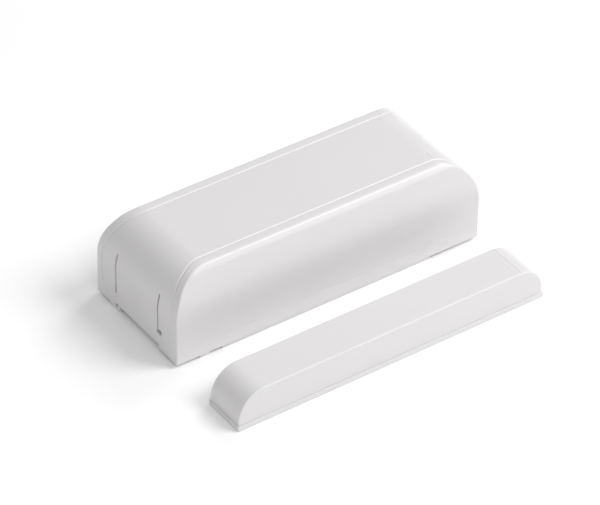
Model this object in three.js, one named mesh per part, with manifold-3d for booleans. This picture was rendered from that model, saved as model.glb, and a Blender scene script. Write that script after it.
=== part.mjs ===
// Wireless door contact: a domed transmitter and its slim magnet unit, lying on their backs.
// Millimetres, +Z up. +X runs along the transmitter from its release tab to its hinge, -Y points at the
// magnet unit. The origin is the centre of the transmitter's footprint, on the face that meets the wall.
import * as THREE from "three";
import { mergeVertices } from "three/addons/utils/BufferGeometryUtils.js";
import Module from "manifold-3d";

const wasm = await Module();
wasm.setup();

// ---- Driving dimensions: what the transmitter holds ----
const cellDiameter = 17;
const cellLength = 33.7;
const cellCapRadius = 3.2;
const cellCapLength = 0.8;
const cellCapGap = 0.02; // between the cell's can and its cap
const cellCapRound = 0.3;
const cellFootRound = 0.5;
const cellTopRound = 0.9;
const springLength = 2.0;
const boardLength = 30.9;
const boardWidth = 26;
const boardThickness = 1.2;

// ---- Driving dimensions: transmitter shell ----
const wall = 1.8;
const standoff = 1.0; // from the wall face up to the cover's lower edge
const endRoundX = 9.85; // reach of each end's round along the length
const endRoundZ = 11.1; // and its reach down the end
const draft = 0.28; // each side comes in this much over its height
const leanBelowTop = 10.1; // the sides start to lean inwards this far below the top
const fullLeanBelowTop = 4.0; // and lean fully from here
const leanSlope = 0.41; // inwards for each millimetre up, at full lean
const browHeight = 1.3; // steeper strip along the top edge
const browSlope = 0.43; // which leans this much more
const bandHeight = 3.5; // plain band along the lower edge
const bandTuck = 0.03;
const grooveWidth = 0.4;
const grooveDepth = 0.2;
const grooveInsetLow = 2.1; // groove from the side face, at the lower edge
const grooveInsetTop = 2.25; // and along the top
const markLength = 2.8;
const tickLength = 1.0; // shorter mark outside the far groove
const markWidth = 0.3;
const markDepth = 0.15;
const markFromHingeEnd = 8.9;

// ---- Release tab ----
const slitSpread = 16.6; // between the middles of the two slits
const slitWidth = 0.6;
const slitTopRise = 14.4; // above the cover's lower edge
const slitFootRise = 4.0;
const reliefSize = 1.3; // square at the foot of the slit on the magnet's side
const tabReach = 4; // the tab is cut out to this depth behind the end wall
const pryGap = 0.95; // the tab stops this far above the cover's lower edge
const hookThickness = 1.0;
const hookWidth = 8;
const catchWidth = 10;
const catchThickness = 1.0;
const catchLip = 0.25;
const catchLipHeight = 1.0;
const catchHeight = 4.4;
const catchRoom = 2.8; // tab's hook and the catch, side by side
const catchToHolder = 1.0;

// ---- Base plate ----
const baseThickness = 1.8;
const lipInset = 0.4; // side lips stop short of the cover's faces
const lipGap = 0.2; // and of its lower edge
const shortLipStart = 6.15; // from the tab end
const shortLipLength = 2.65;
const longLipStart = 11.95;
const longLipHingeGap = 13.1; // the long lip stops this far from the hinge end
const footLength = 3.2; // rounded foot under the tab end
const footWidth = 4;
const footMiddle = 9.2; // off the centre line
const footRound = 0.8;
const hingeNoseRadius = 0.6;
const hingeNoseHeight = 2.6;
const hingeNoseSetback = 0.1; // nose axis, inboard of the cover's inner end face
const hingeLugWidth = 4;
const hingeLugSpread = 18;
const hingeLugThickness = 1.5;
const hingeLugSetback = 0.7; // lug's post from the plate's end
const hingeSkin = 0.8; // left outside each hinge pocket
const hingeBay = 2.5; // from the board's edge to the cover's inner end face
const hingeSweep = 1.9; // the plate stops this far short of the cover's inner end face
const wallScrewRadius = 2.0;
const wallScrewHeadRadius = 3.6;
const wallScrewOffset = 4; // first wall screw from the middle of the holder, towards the tab
const wallScrewFromBoard = 5; // second one from the board's tab end
const islandLength = 14; // break-away piece round the first wall screw
const islandWidth = 12;
const islandSlot = 0.8;
const islandBridge = 1.2;
const knockoutRadius = 3.2;
const knockoutGroove = 0.6;
const knockoutSkin = 0.5;
const knockoutFromScrew = 12;
const ribThickness = 1.2; // ribs inside the cover, over the cell
const ribFromCellEnd = 6.7;
const tamperPostRadius = 1.5;
const tamperPostRoot = 2.2;

// ---- Cell holder, contacts and board fixings ----
const fit = 0.3; // clearance between neighbouring pieces
const seat = 0.05; // between a piece and what carries it
const holderWall = 0.8;
const holderEndHeight = 13;
const cheekThickness = 1.2;
const cheekHeight = 6.5;
const cheekFromCellEnd = 3;
const holderTrim = 2; // floor and ends are narrower than the cheeks
const holderToBoard = 0.7;
const crownGap = 1.0; // above the cell
const contactThickness = 0.3;
const contactWidth = 9;
const contactSlot = 1.2;
const springWire = 0.24; // radius
const springWide = 3.4; // coil radius at the plate
const springNarrow = 2.0; // and at the cell
const springTurns = 2.4;
const standHeight = 2.4; // board stands above the base plate
const standRadius = 1.6;
const standInset = 2.9;
const boardSideGap = 1.1; // board edge to the cover's inner side
const boardScrewRadius = 0.95;
const boardScrewHeadRadius = 1.9;
const boardScrewHead = 1.3;
const boardScrewTip = 1.2; // height of the screw's tip
const pilotFloor = 0.6;
const driveWidth = 0.4;
const driveReach = 1.1;
const driveDepth = 0.6;
const boardNotch = [1.2, 4]; // clears the holder's wires

// ---- Parts on the board ----
const reedLength = 10;
const reedRadius = 1.1;
const reedGlassWall = 0.3;
const reedNeckRadius = 0.7;
const reedWireRadius = 0.2;
const reedReach = 6.8; // from the middle of the switch to each solder leg
const reedBladeLap = 0.5;
const reedBladeOffset = 0.28; // each blade off the switch's axis
const reedShoulder = [0.2, 0.4]; // rounding at the ends of the glass
const reedNeckLength = 0.5;
const reedHeight = 2.1;
const reedFromEnd = 1; // solder leg to the board's hinge end
const reedFromEdge = 2.1;
const tamperFromStart = 14;
const switchFromEdge = 5;
const switchSpacing = 1.5;
const switchSize = 6;
const switchHeight = 3.5;
const plungerRadius = 1.6;
const plungerTop = 8.6;
const plungerWell = 1.4;
const plungerTravelRoom = 0.4;
const plungerRound = 0.5;
const enrolHeight = 3.2;
const enrolCapRadius = 1.7;
const enrolCapRise = 1.3;
const enrolWell = 1.0;
const enrolCapRound = 0.3;
const radioSize = [13, 8, 2.2];
const controllerSize = [5.5, 5.5, 1.0];
const crystalSize = [3.2, 2.5, 0.9];
const lightSize = [2.0, 1.4, 0.9];
const capacitorRadius = 2.0;
const capacitorHeight = 5.4;
const capacitorFoot = [4.3, 4.3, 0.8];
const capacitorFromEnd = 2.7;
const capacitorRim = 0.4;
const radioFromEnd = 12; // middle of the radio's shield to the board's hinge end
const shieldBorder = [2, 1.5]; // round the shield's sunk top
const shieldSink = 0.15;
const controllerPlace = [8.8, 4.4]; // from the board's tab end and its magnet side
const crystalPlace = [13.6, 3.4];
const lightPlace = [3.0, 3.0];
const terminalSize = [8, 6.5, 8];
const terminalPlaceIn = [1.5, 0.8]; // from the board's tab end and its far side
const terminalScrewRadius = 1.5;
const terminalScrewLength = 1.6;
const terminalWell = 2.2;
const terminalEntry = 2.4;
const terminalEntryDepth = 3;
const terminalEntryRise = 1.2;
const terminalSlot = 0.5;
const terminalSlotDepth = 0.7;
const terminalScrewSunk = 0.3; // below the top of the block
const coilRadius = 2.0;
const coilWire = 0.3;
const coilLength = 11.5;
const coilTurns = 7;
const coilFromEnd = 4;

// ---- Magnet unit ----
const magnetShift = -0.47; // its middle, along the transmitter
const workingGap = 13.2; // between the two housings
const magnetUnitLength = 81.4;
const magnetUnitWidth = 11.2;
const magnetUnitHeight = 9.1;
const magnetBaseThickness = 1.3;
const magnetSeam = 0.12;
const magnetReveal = 0.25; // the base stands out this far all round
const magnetWall = 1.2;
const magnetRoundX = 6.5;
const magnetRoundZ = 6.85;
const magnetEdgeRound = 0.4;
const magnetInnerRound = 0.2;
const barLength = 20;
const barWidth = 5;
const barHeight = 4;
const barFromEnd = 14.2; // middle of the magnet to the hinge-side end of the unit
const padLength = 13;
const padThickness = 1.6;
const padTrim = 0.4;
const postThickness = 0.9;
const postLength = 3;
const sidePostRise = 2.8; // above the underside of the magnet
const endStopRise = 1.6;
const magnetScrewRadius = 1.6;
const magnetScrewHeadRadius = 2.9;
const magnetScrewFromEnd = 9;
const magnetScrewFromBar = 12;
const magnetCorner = 0.3;
const magnetMarkFromEnd = 6.4;

// ---- Places worked out from the driving dimensions ----
const catchBay = wall + catchRoom + fit; // tab wall, hook and catch
const cellBay = springLength + cellLength + cellCapLength;
const holderLength = 2 * holderWall + 2 * contactThickness + cellBay + 5 * fit;
const length = catchBay + holderLength + holderToBoard + boardLength + hingeBay + wall;
const width = boardWidth + 2 * (boardSideGap + wall);
const holderFloor = baseThickness + seat;
const cellZ = holderFloor + holderWall + seat + cellDiameter / 2;
const height = cellZ + cellDiameter / 2 + crownGap + wall;
const endX = length / 2;
const innerEndX = endX - wall;
const leanStart = height - leanBelowTop;
const leanFull = height - fullLeanBelowTop;
const browStart = height - browHeight;
const ceiling = height - wall;
const slitTop = standoff + slitTopRise;
const tabTop = slitTop - fit;
const tabFoot = standoff + pryGap;
const tabWidth = slitSpread - slitWidth;
const holderStart = -endX + catchBay;
const holderEnd = holderStart + holderLength;
const cellStart = holderStart + holderWall + contactThickness + springLength + 3 * fit;
const capEnd = cellStart + cellLength + cellCapLength;
const boardStart = holderEnd + holderToBoard;
const boardEnd = boardStart + boardLength;
const boardFloor = baseThickness + standHeight + seat;
const boardTop = boardFloor + boardThickness;
const partFloor = boardTop + seat;
const hingeX = innerEndX - hingeNoseSetback;
const wallScrewX = [(holderStart + holderEnd) / 2 - wallScrewOffset, boardStart + wallScrewFromBoard];
const tamperX = boardStart + tamperFromStart;
const tamperY = boardWidth / 2 - switchFromEdge;
const enrolX = tamperX + switchSize + switchSpacing;
const enrolY = tamperY;
const reedX = boardEnd - reedReach - reedFromEnd;
const reedY = -boardWidth / 2 + reedFromEdge;

// ---- Modelling helpers: no size of the object ----
const round = 24; // sides of a small round
const over = 1; // how far a cutting tool passes the face it cuts
const sink = 0.1; // overlap of two solids that become one piece

// ---- Solid tools ----
function solid(geometry) {
  const bare = new THREE.BufferGeometry();
  bare.setAttribute("position", geometry.getAttribute("position"));
  bare.setIndex(geometry.getIndex());
  const merged = mergeVertices(bare, 1e-4);
  const vertProperties = Float32Array.from(merged.getAttribute("position").array);
  const triVerts = Uint32Array.from(merged.getIndex().array);
  return new wasm.Manifold(new wasm.Mesh({ numProp: 3, vertProperties, triVerts }));
}

function box(x0, x1, y0, y1, z0, z1) {
  const geometry = new THREE.BoxGeometry(x1 - x0, y1 - y0, z1 - z0);
  geometry.translate((x0 + x1) / 2, (y0 + y1) / 2, (z0 + z1) / 2);
  return solid(geometry);
}

function blockOn(x, y, z, [sizeX, sizeY, sizeZ]) {
  return box(x - sizeX / 2, x + sizeX / 2, y - sizeY / 2, y + sizeY / 2, z, z + sizeZ);
}

function upright(radius, x, y, z0, z1, topRadius = radius, sides = round) {
  const geometry = new THREE.CylinderGeometry(topRadius, radius, z1 - z0, sides);
  geometry.rotateX(Math.PI / 2);
  geometry.translate(x, y, (z0 + z1) / 2);
  return solid(geometry);
}

// Upright pin whose top edge is taken off by `bevel`.
function roundedPin(radius, x, y, z0, z1, bevel) {
  return upright(radius, x, y, z0, z1 - bevel).add(upright(radius, x, y, z1 - bevel, z1, radius - bevel));
}

function barAlongX(radius, x0, x1, y, z, sides = round) {
  const geometry = new THREE.CylinderGeometry(radius, radius, x1 - x0, sides);
  geometry.rotateZ(Math.PI / 2);
  geometry.translate((x0 + x1) / 2, y, z);
  return solid(geometry);
}

function barAlongY(radius, x, y0, y1, z) {
  const geometry = new THREE.CylinderGeometry(radius, radius, y1 - y0, round);
  geometry.translate(x, (y0 + y1) / 2, z);
  return solid(geometry);
}

// An outline drawn in X and Z, given thickness along Y.
function extrudeAlongY(shape, y0, y1, curveSegments = 7) {
  const geometry = new THREE.ExtrudeGeometry(shape, { depth: y1 - y0, bevelEnabled: false, curveSegments });
  const along = new THREE.Matrix4().makeBasis(
    new THREE.Vector3(1, 0, 0), new THREE.Vector3(0, 0, 1), new THREE.Vector3(0, -1, 0));
  geometry.applyMatrix4(along);
  geometry.translate(0, y1, 0);
  return solid(indexed(geometry));
}

// An outline drawn in Y and Z, given thickness along X.
function extrudeAlongX(shape, x0, x1, curveSegments = 7) {
  const geometry = new THREE.ExtrudeGeometry(shape, { depth: x1 - x0, bevelEnabled: false, curveSegments });
  const along = new THREE.Matrix4().makeBasis(
    new THREE.Vector3(0, 1, 0), new THREE.Vector3(0, 0, 1), new THREE.Vector3(1, 0, 0));
  geometry.applyMatrix4(along);
  geometry.translate(x0, 0, 0);
  return solid(indexed(geometry));
}

// An outline drawn in X and Y, given thickness along Z.
function extrudeUp(shape, z0, z1, curveSegments = 8) {
  const geometry = new THREE.ExtrudeGeometry(shape, { depth: z1 - z0, bevelEnabled: false, curveSegments });
  geometry.translate(0, 0, z0);
  return solid(indexed(geometry));
}

function indexed(geometry) {
  const bare = new THREE.BufferGeometry();
  bare.setAttribute("position", geometry.getAttribute("position"));
  return mergeVertices(bare, 1e-4);
}

function join(...solids) {
  return solids.reduce((sum, next) => sum.add(next));
}

function cut(body, ...tools) {
  return tools.reduce((left, tool) => left.subtract(tool), body);
}

// ---- Materials ----
function plastic(colour, roughness = 0.5) {
  return new THREE.MeshStandardMaterial({ color: colour, roughness, metalness: 0 });
}

function metal(colour, roughness = 0.3) {
  return new THREE.MeshStandardMaterial({ color: colour, roughness, metalness: 1 });
}

const shellWhite = plastic(0xe4e3e3, 0.45);
const innerWhite = plastic(0xdcdcda, 0.55);
const boardGreen = plastic(0x1c5a3a, 0.5);
const black = plastic(0x1b1b1d, 0.5);
const terminalGreen = plastic(0x2f7d4b, 0.5);
const cellWrap = plastic(0x2b3a55, 0.35);
const glass = new THREE.MeshStandardMaterial({
  color: 0xcfe4dc,
  roughness: 0.1,
  transparent: true,
  opacity: 0.4,
});
const lightLens = plastic(0xd8463a, 0.25);
const foam = plastic(0x4a4a4c, 0.95);
const tinned = metal(0xc9c9c4, 0.35);
const nickel = metal(0xbfc0bf, 0.25);
const copper = metal(0xb8734a, 0.35);

// ---- Shell outlines ----

// Long outline of a housing: straight ends, a quarter round at each end of the top, open below `foot`.
function longOutline(half, top, roundX, roundZ, inset, foot) {
  const shape = new THREE.Shape();
  const shoulder = top - roundZ;
  shape.moveTo(-half + inset, foot);
  shape.lineTo(-half + inset, shoulder);
  shape.absellipse(-half + roundX, shoulder, roundX - inset, roundZ - inset, Math.PI, Math.PI / 2, true);
  shape.lineTo(half - roundX, top - inset);
  shape.absellipse(half - roundX, shoulder, roundX - inset, roundZ - inset, Math.PI / 2, 0, true);
  shape.lineTo(half - inset, foot);
  shape.closePath();
  return shape;
}

function halfWidth(z) {
  const rise = Math.max(0, z - standoff) / (height - standoff);
  const curved = Math.min(Math.max(0, z - leanStart), leanFull - leanStart);
  const lean = leanSlope * (curved ** 2 / (2 * (leanFull - leanStart)) + Math.max(0, z - leanFull));
  return width / 2 - draft * rise - lean - browSlope * Math.max(0, z - browStart);
}

// Heights at which the side outline has a point, from the band up to the top.
function sideHeights(top) {
  const steps = 6;
  const heights = [standoff + bandHeight];
  for (let i = 0; i <= steps; i += 1) {
    heights.push(leanStart + (leanFull - leanStart) * i / steps);
  }
  heights.push(Math.min(browStart, top - fit), top);
  return heights;
}

// Cross outline of the transmitter: tucked band, drafted side, leaning shoulder.
function crossOutline(inset, foot) {
  const right = [[width / 2 - bandTuck - inset, foot]];
  for (const z of sideHeights(height - inset)) {
    right.push([halfWidth(z) - inset, z]);
  }
  const shape = new THREE.Shape();
  shape.moveTo(...right[0]);
  right.slice(1).forEach(([y, z]) => shape.lineTo(y, z));
  [...right].reverse().forEach(([y, z]) => shape.lineTo(-y, z));
  shape.closePath();
  return shape;
}

function grooveInset(z) {
  return grooveInsetLow + (grooveInsetTop - grooveInsetLow) * (z - standoff) / (height - standoff);
}

// Strip in Y and Z that follows the side face at the groove's inset.
function grooveStrip(side) {
  const heights = [...sideHeights(height), height + over];
  const near = heights.map((z) => halfWidth(Math.min(z, height)) - grooveInset(z) - grooveWidth / 2);
  const shape = new THREE.Shape();
  shape.moveTo(side * near[0], heights[0]);
  heights.slice(1).forEach((z, i) => shape.lineTo(side * near[i + 1], z));
  [...heights.keys()].reverse().forEach((i) => shape.lineTo(side * (near[i] + grooveWidth), heights[i]));
  shape.closePath();
  return shape;
}

function transmitterHull(inset, foot) {
  const long = extrudeAlongY(longOutline(endX, height, endRoundX, endRoundZ, inset, foot), -width, width);
  return long.intersect(extrudeAlongX(crossOutline(inset, foot), -length, length));
}

// ---- Transmitter shell ----
function grooves() {
  const reach = [endX + over, height + over, endRoundX + over, endRoundZ + over];
  const beyond = longOutline(...reach, 0, standoff - over);
  const within = longOutline(endX, height, endRoundX, endRoundZ, grooveDepth, standoff - 2 * over);
  const skin = extrudeAlongY(beyond, -width, width).subtract(extrudeAlongY(within, -width, width));
  const strips = [-1, 1].map((side) => extrudeAlongX(grooveStrip(side), -length, length));
  return skin.intersect(join(...strips));
}

function alignmentMarks() {
  const x = endX - markFromHingeEnd;
  const inner = halfWidth(height) - grooveInsetTop - grooveWidth / 2;
  const front = box(x - markWidth / 2, x + markWidth / 2, -inner + fit, -inner + fit + markLength,
    height - markDepth, height + over);
  const tickStart = inner + grooveWidth + fit / 2;
  const rear = box(x - markWidth / 2, x + markWidth / 2, tickStart, tickStart + tickLength,
    height - markDepth, height + over);
  return [front, rear];
}

function tabWindow() {
  const half = slitSpread / 2 + slitWidth / 2;
  const opening = box(-endX - over, -innerEndX + tabReach, -half, half, standoff - over, slitTop);
  const foot = standoff + slitFootRise;
  const relief = box(-endX - over, -innerEndX + over, -half - reliefSize, -half, foot, foot + reliefSize);
  return opening.add(relief);
}

function hingePockets() {
  const half = hingeLugWidth / 2 + fit;
  const top = hingeNoseHeight + hingeNoseRadius + 2 * fit;
  return [-1, 1].map((side) => {
    const y = side * hingeLugSpread / 2;
    return box(innerEndX - over, endX - hingeSkin, y - half, y + half, standoff - over, top);
  });
}

// Two ribs that keep the cell down, and the post that presses the tamper switch.
function coverInsides() {
  const radius = cellDiameter / 2;
  const ribs = [cellStart + ribFromCellEnd, cellStart + cellLength - ribFromCellEnd].map((x) => {
    const half = ribThickness / 2;
    const rib = box(x - half, x + half, -radius, radius, cellZ + radius / 2, ceiling + sink);
    return rib.subtract(barAlongX(radius + fit, x - over, x + over, 0, cellZ, 2 * round));
  });
  const post = upright(tamperPostRadius, tamperX, tamperY, partFloor + plungerTop + fit, ceiling + sink,
    tamperPostRoot);
  return join(...ribs, post);
}

function transmitterWalls() {
  return transmitterHull(0, standoff).subtract(transmitterHull(wall, standoff - over));
}

function transmitterCover() {
  const cuts = [grooves(), tabWindow(), ...alignmentMarks(), ...hingePockets()];
  return cut(transmitterWalls(), ...cuts).add(coverInsides());
}

function releaseTab() {
  const slab = box(-endX - over, -innerEndX + tabReach, -tabWidth / 2, tabWidth / 2, tabFoot, tabTop);
  const hookEnd = -endX + catchBay - catchToHolder - catchThickness - catchLip - fit;
  const hookTop = baseThickness + catchHeight - catchLipHeight - fit;
  const half = hookWidth / 2;
  const hook = box(-innerEndX - sink, hookEnd, -half, half, hookTop - hookThickness, hookTop);
  return transmitterWalls().intersect(slab).add(hook);
}

function baseLips() {
  const inner = width / 2 - wall - 2 * fit;
  const outer = width / 2 - lipInset;
  const shortLip = [-endX + shortLipStart, -endX + shortLipStart + shortLipLength];
  const longLip = [-endX + longLipStart, endX - longLipHingeGap];
  return [shortLip, longLip].flatMap(([from, to]) => [-1, 1].map((side) => {
    const [y0, y1] = [side * inner, side * outer].sort((a, b) => a - b);
    return box(from, to, y0, y1, 0, standoff - lipGap);
  }));
}

function hingeLugs() {
  return [-1, 1].flatMap((side) => {
    const y0 = side * hingeLugSpread / 2 - hingeLugWidth / 2;
    const y1 = y0 + hingeLugWidth;
    const armTop = hingeNoseHeight + hingeNoseRadius;
    const plateEnd = innerEndX - hingeSweep;
    const postEnd = plateEnd - hingeLugSetback;
    const post = box(postEnd - hingeLugThickness, postEnd, y0, y1, baseThickness - sink, armTop);
    const arm = box(postEnd - sink, hingeX, y0, y1, hingeNoseHeight - hingeNoseRadius, armTop);
    return [post, arm, barAlongY(hingeNoseRadius, hingeX, y0, y1, hingeNoseHeight)];
  });
}

function tabCatch() {
  const face = -endX + catchBay - catchToHolder;
  const half = catchWidth / 2;
  const top = baseThickness + catchHeight;
  const stem = box(face - catchThickness, face, -half, half, baseThickness - sink, top);
  const lip = box(face - catchThickness - catchLip, face, -half, half, top - catchLipHeight, top);
  return stem.add(lip);
}

function boardStands() {
  const across = boardWidth / 2 - standInset;
  return [boardStart + standInset, boardEnd - standInset].flatMap((x) => [-across, across].map((y) => {
    return upright(standRadius, x, y, baseThickness - sink, boardFloor - seat);
  }));
}

function screwHole(x, y, radius, headRadius, thickness) {
  const hole = upright(radius, x, y, -over, thickness + over);
  const cone = upright(radius, x, y, thickness - (headRadius - radius), thickness, headRadius);
  return hole.add(cone).add(upright(headRadius, x, y, thickness, thickness + over));
}

// Four slots round the first wall screw leave a piece that stays on the wall when the sensor is torn off.
function breakAwaySlots() {
  const x = wallScrewX[0];
  const halfX = islandLength / 2;
  const halfY = islandWidth / 2;
  const ends = [-1, 1].map((side) => {
    const middle = x + side * halfX;
    return box(middle - islandSlot / 2, middle + islandSlot / 2, -halfY + islandBridge, halfY - islandBridge,
      -over, baseThickness + over);
  });
  const sides = [-1, 1].map((side) => {
    const middle = side * halfY;
    return box(x - halfX + islandBridge, x + halfX - islandBridge, middle - islandSlot / 2,
      middle + islandSlot / 2, -over, baseThickness + over);
  });
  return [...ends, ...sides];
}

function cableKnockout() {
  const x = wallScrewX[1] + knockoutFromScrew;
  const ring = upright(knockoutRadius, x, 0, knockoutSkin, baseThickness + over);
  const inner = knockoutRadius - knockoutGroove;
  const middle = upright(inner, x, 0, knockoutSkin - over, baseThickness + 2 * over);
  return ring.subtract(middle);
}

// Outline in X and Y with rounded corners.
function roundedOutline(x0, x1, y0, y1, corner) {
  const outline = new THREE.Shape();
  outline.moveTo(x0 + corner, y0);
  outline.lineTo(x1 - corner, y0);
  outline.absarc(x1 - corner, y0 + corner, corner, -Math.PI / 2, 0, false);
  outline.lineTo(x1, y1 - corner);
  outline.absarc(x1 - corner, y1 - corner, corner, 0, Math.PI / 2, false);
  outline.lineTo(x0 + corner, y1);
  outline.absarc(x0 + corner, y1 - corner, corner, Math.PI / 2, Math.PI, false);
  outline.lineTo(x0, y0 + corner);
  outline.absarc(x0 + corner, y0 + corner, corner, Math.PI, Math.PI * 1.5, false);
  return outline;
}

function tabEndFoot() {
  const start = -endX + lipGap;
  const half = footWidth / 2;
  const end = start + footLength;
  const outline = roundedOutline(start, end, footMiddle - half, footMiddle + half, footRound);
  return extrudeUp(outline, 0, standoff - lipGap);
}

function basePlate() {
  const side = width / 2 - wall - fit - bandTuck;
  const plate = box(-innerEndX + fit, innerEndX - hingeSweep, -side, side, 0, baseThickness);
  const whole = join(plate, ...baseLips(), ...hingeLugs(), tabCatch(), tabEndFoot(), ...boardStands());
  const screwHoles = wallScrewX.map((x) => {
    return screwHole(x, 0, wallScrewRadius, wallScrewHeadRadius, baseThickness);
  });
  const [screwX, screwY] = boardScrewPlace();
  const pilot = upright(boardScrewRadius + sink, screwX, screwY, pilotFloor, boardFloor + over);
  return cut(whole, ...screwHoles, ...breakAwaySlots(), cableKnockout(), pilot);
}

// ---- Cell, holder and contacts ----
function cellHolder() {
  const half = cellDiameter / 2 + fit + cheekThickness;
  const narrow = half - holderTrim;
  const floor = box(holderStart, holderEnd, -narrow, narrow, holderFloor, holderFloor + holderWall);
  const ends = [holderStart, holderEnd - holderWall].map((x) => {
    return box(x, x + holderWall, -narrow, narrow, holderFloor, holderFloor + holderEndHeight);
  });
  const cheekStart = cellStart + cheekFromCellEnd;
  const cheekEnd = cellStart + cellLength - cheekFromCellEnd;
  const cheeks = [-1, 1].map((side) => {
    const [y0, y1] = [side * (narrow - cheekThickness), side * half].sort((a, b) => a - b);
    return box(cheekStart, cheekEnd, y0, y1, holderFloor, holderFloor + cheekHeight);
  });
  const cellSpace = barAlongX(cellDiameter / 2 + fit, cellStart - fit, capEnd + fit, 0, cellZ, 2 * round);
  const access = upright(wallScrewHeadRadius + 2 * fit, wallScrewX[0], 0, holderFloor - over, cellZ);
  return cut(join(floor, ...ends, ...cheeks), cellSpace, access);
}

function cell() {
  const radius = cellDiameter / 2;
  const profile = [[0, 0], [radius - cellFootRound, 0], [radius, cellFootRound],
    [radius, cellLength - cellTopRound], [radius - cellTopRound, cellLength], [0, cellLength]];
  return turnedAlongX(profile, cellStart, 0, cellZ, 40);
}

function cellCap() {
  const start = cellStart + cellLength + cellCapGap;
  const tall = cellCapLength - cellCapGap;
  const profile = [[0, 0], [cellCapRadius, 0], [cellCapRadius, tall - cellCapRound],
    [cellCapRadius - cellCapRound, tall], [0, tall]];
  return turnedAlongX(profile, start, 0, cellZ, 28);
}

// A profile of [radius, distance] points, turned about a line along X.
function turnedAlongX(profile, x, y, z, sides = round) {
  const points = profile.map(([radius, along]) => new THREE.Vector2(radius, along));
  const geometry = new THREE.LatheGeometry(points, sides);
  geometry.rotateZ(-Math.PI / 2);
  geometry.translate(x, y, z);
  return solid(indexed(geometry.toNonIndexed()));
}

function contactPlate(x) {
  const plate = box(x, x + contactThickness, -contactWidth / 2, contactWidth / 2,
    holderFloor + holderWall + fit, cellZ + contactWidth / 2);
  const half = contactSlot / 2;
  const slot = box(x - over, x + over, -half, half, holderFloor, cellZ - contactWidth / 2);
  return plate.subtract(slot);
}

// A wire wound about a line along X, from one radius to another.
function woundWire(x0, x1, y, z, radius0, radius1, turns, wire, stepsPerTurn) {
  class Winding extends THREE.Curve {
    getPoint(t, target = new THREE.Vector3()) {
      const radius = radius0 + (radius1 - radius0) * t;
      const angle = 2 * Math.PI * turns * t;
      return target.set(x0 + (x1 - x0) * t, y + radius * Math.cos(angle), z + radius * Math.sin(angle));
    }
  }
  const section = new THREE.Shape();
  section.absarc(0, 0, wire, 0, 2 * Math.PI, false);
  const geometry = new THREE.ExtrudeGeometry(section, {
    steps: Math.round(turns * stepsPerTurn),
    extrudePath: new Winding(),
    curveSegments: 3,
  });
  return solid(indexed(geometry));
}

function contactSpring() {
  const start = holderStart + holderWall + contactThickness + 2 * fit + springWire;
  const end = cellStart - fit - springWire;
  return woundWire(start, end, 0, cellZ, springWide, springNarrow, springTurns, springWire, 14);
}

// ---- Circuit board and what it carries ----
function boardScrewPlace() {
  return [boardEnd - standInset, boardWidth / 2 - standInset];
}

function circuitBoard() {
  const board = box(boardStart, boardEnd, -boardWidth / 2, boardWidth / 2, boardFloor, boardTop);
  const access = upright(wallScrewHeadRadius + fit, wallScrewX[1], 0, 0, boardTop + over);
  const [x, y] = boardScrewPlace();
  const [notchLength, notchWidth] = boardNotch;
  const half = notchWidth / 2;
  const notch = box(boardStart - over, boardStart + notchLength, -half, half, 0, boardTop + over);
  return cut(board, access, notch, upright(boardScrewRadius + fit, x, y, 0, boardTop + over));
}

function boardScrew() {
  const [x, y] = boardScrewPlace();
  const driveTop = partFloor + boardScrewHead;
  const head = upright(boardScrewHeadRadius, x, y, partFloor, driveTop, boardScrewHeadRadius - driveWidth);
  const shank = upright(boardScrewRadius, x, y, boardScrewTip, partFloor + sink);
  const drive = [[driveReach, driveWidth / 2], [driveWidth / 2, driveReach]].map(([reachX, reachY]) => {
    return box(x - reachX, x + reachX, y - reachY, y + reachY, driveTop - driveDepth, driveTop + over);
  });
  return cut(head.add(shank), ...drive);
}

function reedGlass() {
  const half = reedLength / 2;
  const bore = reedRadius - reedGlassWall;
  const [inwards, along] = reedShoulder;
  const boreHalf = half - reedNeckLength;
  const profile = [[reedNeckRadius, -half], [reedRadius - inwards, -half], [reedRadius, -half + along],
    [reedRadius, half - along], [reedRadius - inwards, half], [reedNeckRadius, half], [bore, boreHalf],
    [bore, -boreHalf], [reedNeckRadius, -half]];
  return turnedAlongX(profile, reedX, reedY, partFloor + reedHeight, 20);
}

// Each lead is a blade inside the glass, a straight run and a leg down to the board.
function reedLead(side) {
  const z = partFloor + reedHeight + side * reedBladeOffset;
  const legX = reedX + side * reedReach;
  const tip = reedX - side * reedBladeLap;
  const run = barAlongX(reedWireRadius, Math.min(legX, tip), Math.max(legX, tip), reedY, z, 10);
  const leg = upright(reedWireRadius, legX, reedY, partFloor, z, reedWireRadius, 10);
  const elbow = solid(new THREE.SphereGeometry(reedWireRadius, 10, 8).translate(legX, reedY, z));
  return join(run, leg, elbow);
}

function tamperSwitch() {
  const body = blockOn(tamperX, tamperY, partFloor, [switchSize, switchSize, switchHeight]);
  const top = partFloor + switchHeight;
  return body.subtract(upright(plungerRadius + fit, tamperX, tamperY, top - plungerWell, top + over));
}

function tamperPlunger() {
  const floor = partFloor + switchHeight - plungerWell + plungerTravelRoom;
  return roundedPin(plungerRadius, tamperX, tamperY, floor, partFloor + plungerTop, plungerRound);
}

function enrolButtonBody() {
  const body = blockOn(enrolX, enrolY, partFloor, [switchSize, switchSize, enrolHeight]);
  const top = partFloor + enrolHeight;
  return body.subtract(upright(enrolCapRadius + fit, enrolX, enrolY, top - enrolWell, top + over));
}

function enrolButtonCap() {
  const floor = partFloor + enrolHeight - enrolWell + plungerTravelRoom;
  const top = partFloor + enrolHeight + enrolCapRise;
  return roundedPin(enrolCapRadius, enrolX, enrolY, floor, top, enrolCapRound);
}

function terminalPlace() {
  const [fromEnd, fromSide] = terminalPlaceIn;
  return [boardStart + fromEnd + terminalSize[0] / 2, boardWidth / 2 - fromSide - terminalSize[1] / 2];
}

function terminalWays() {
  const [x] = terminalPlace();
  return [-1, 1].map((side) => x + side * terminalSize[0] / 4);
}

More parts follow.
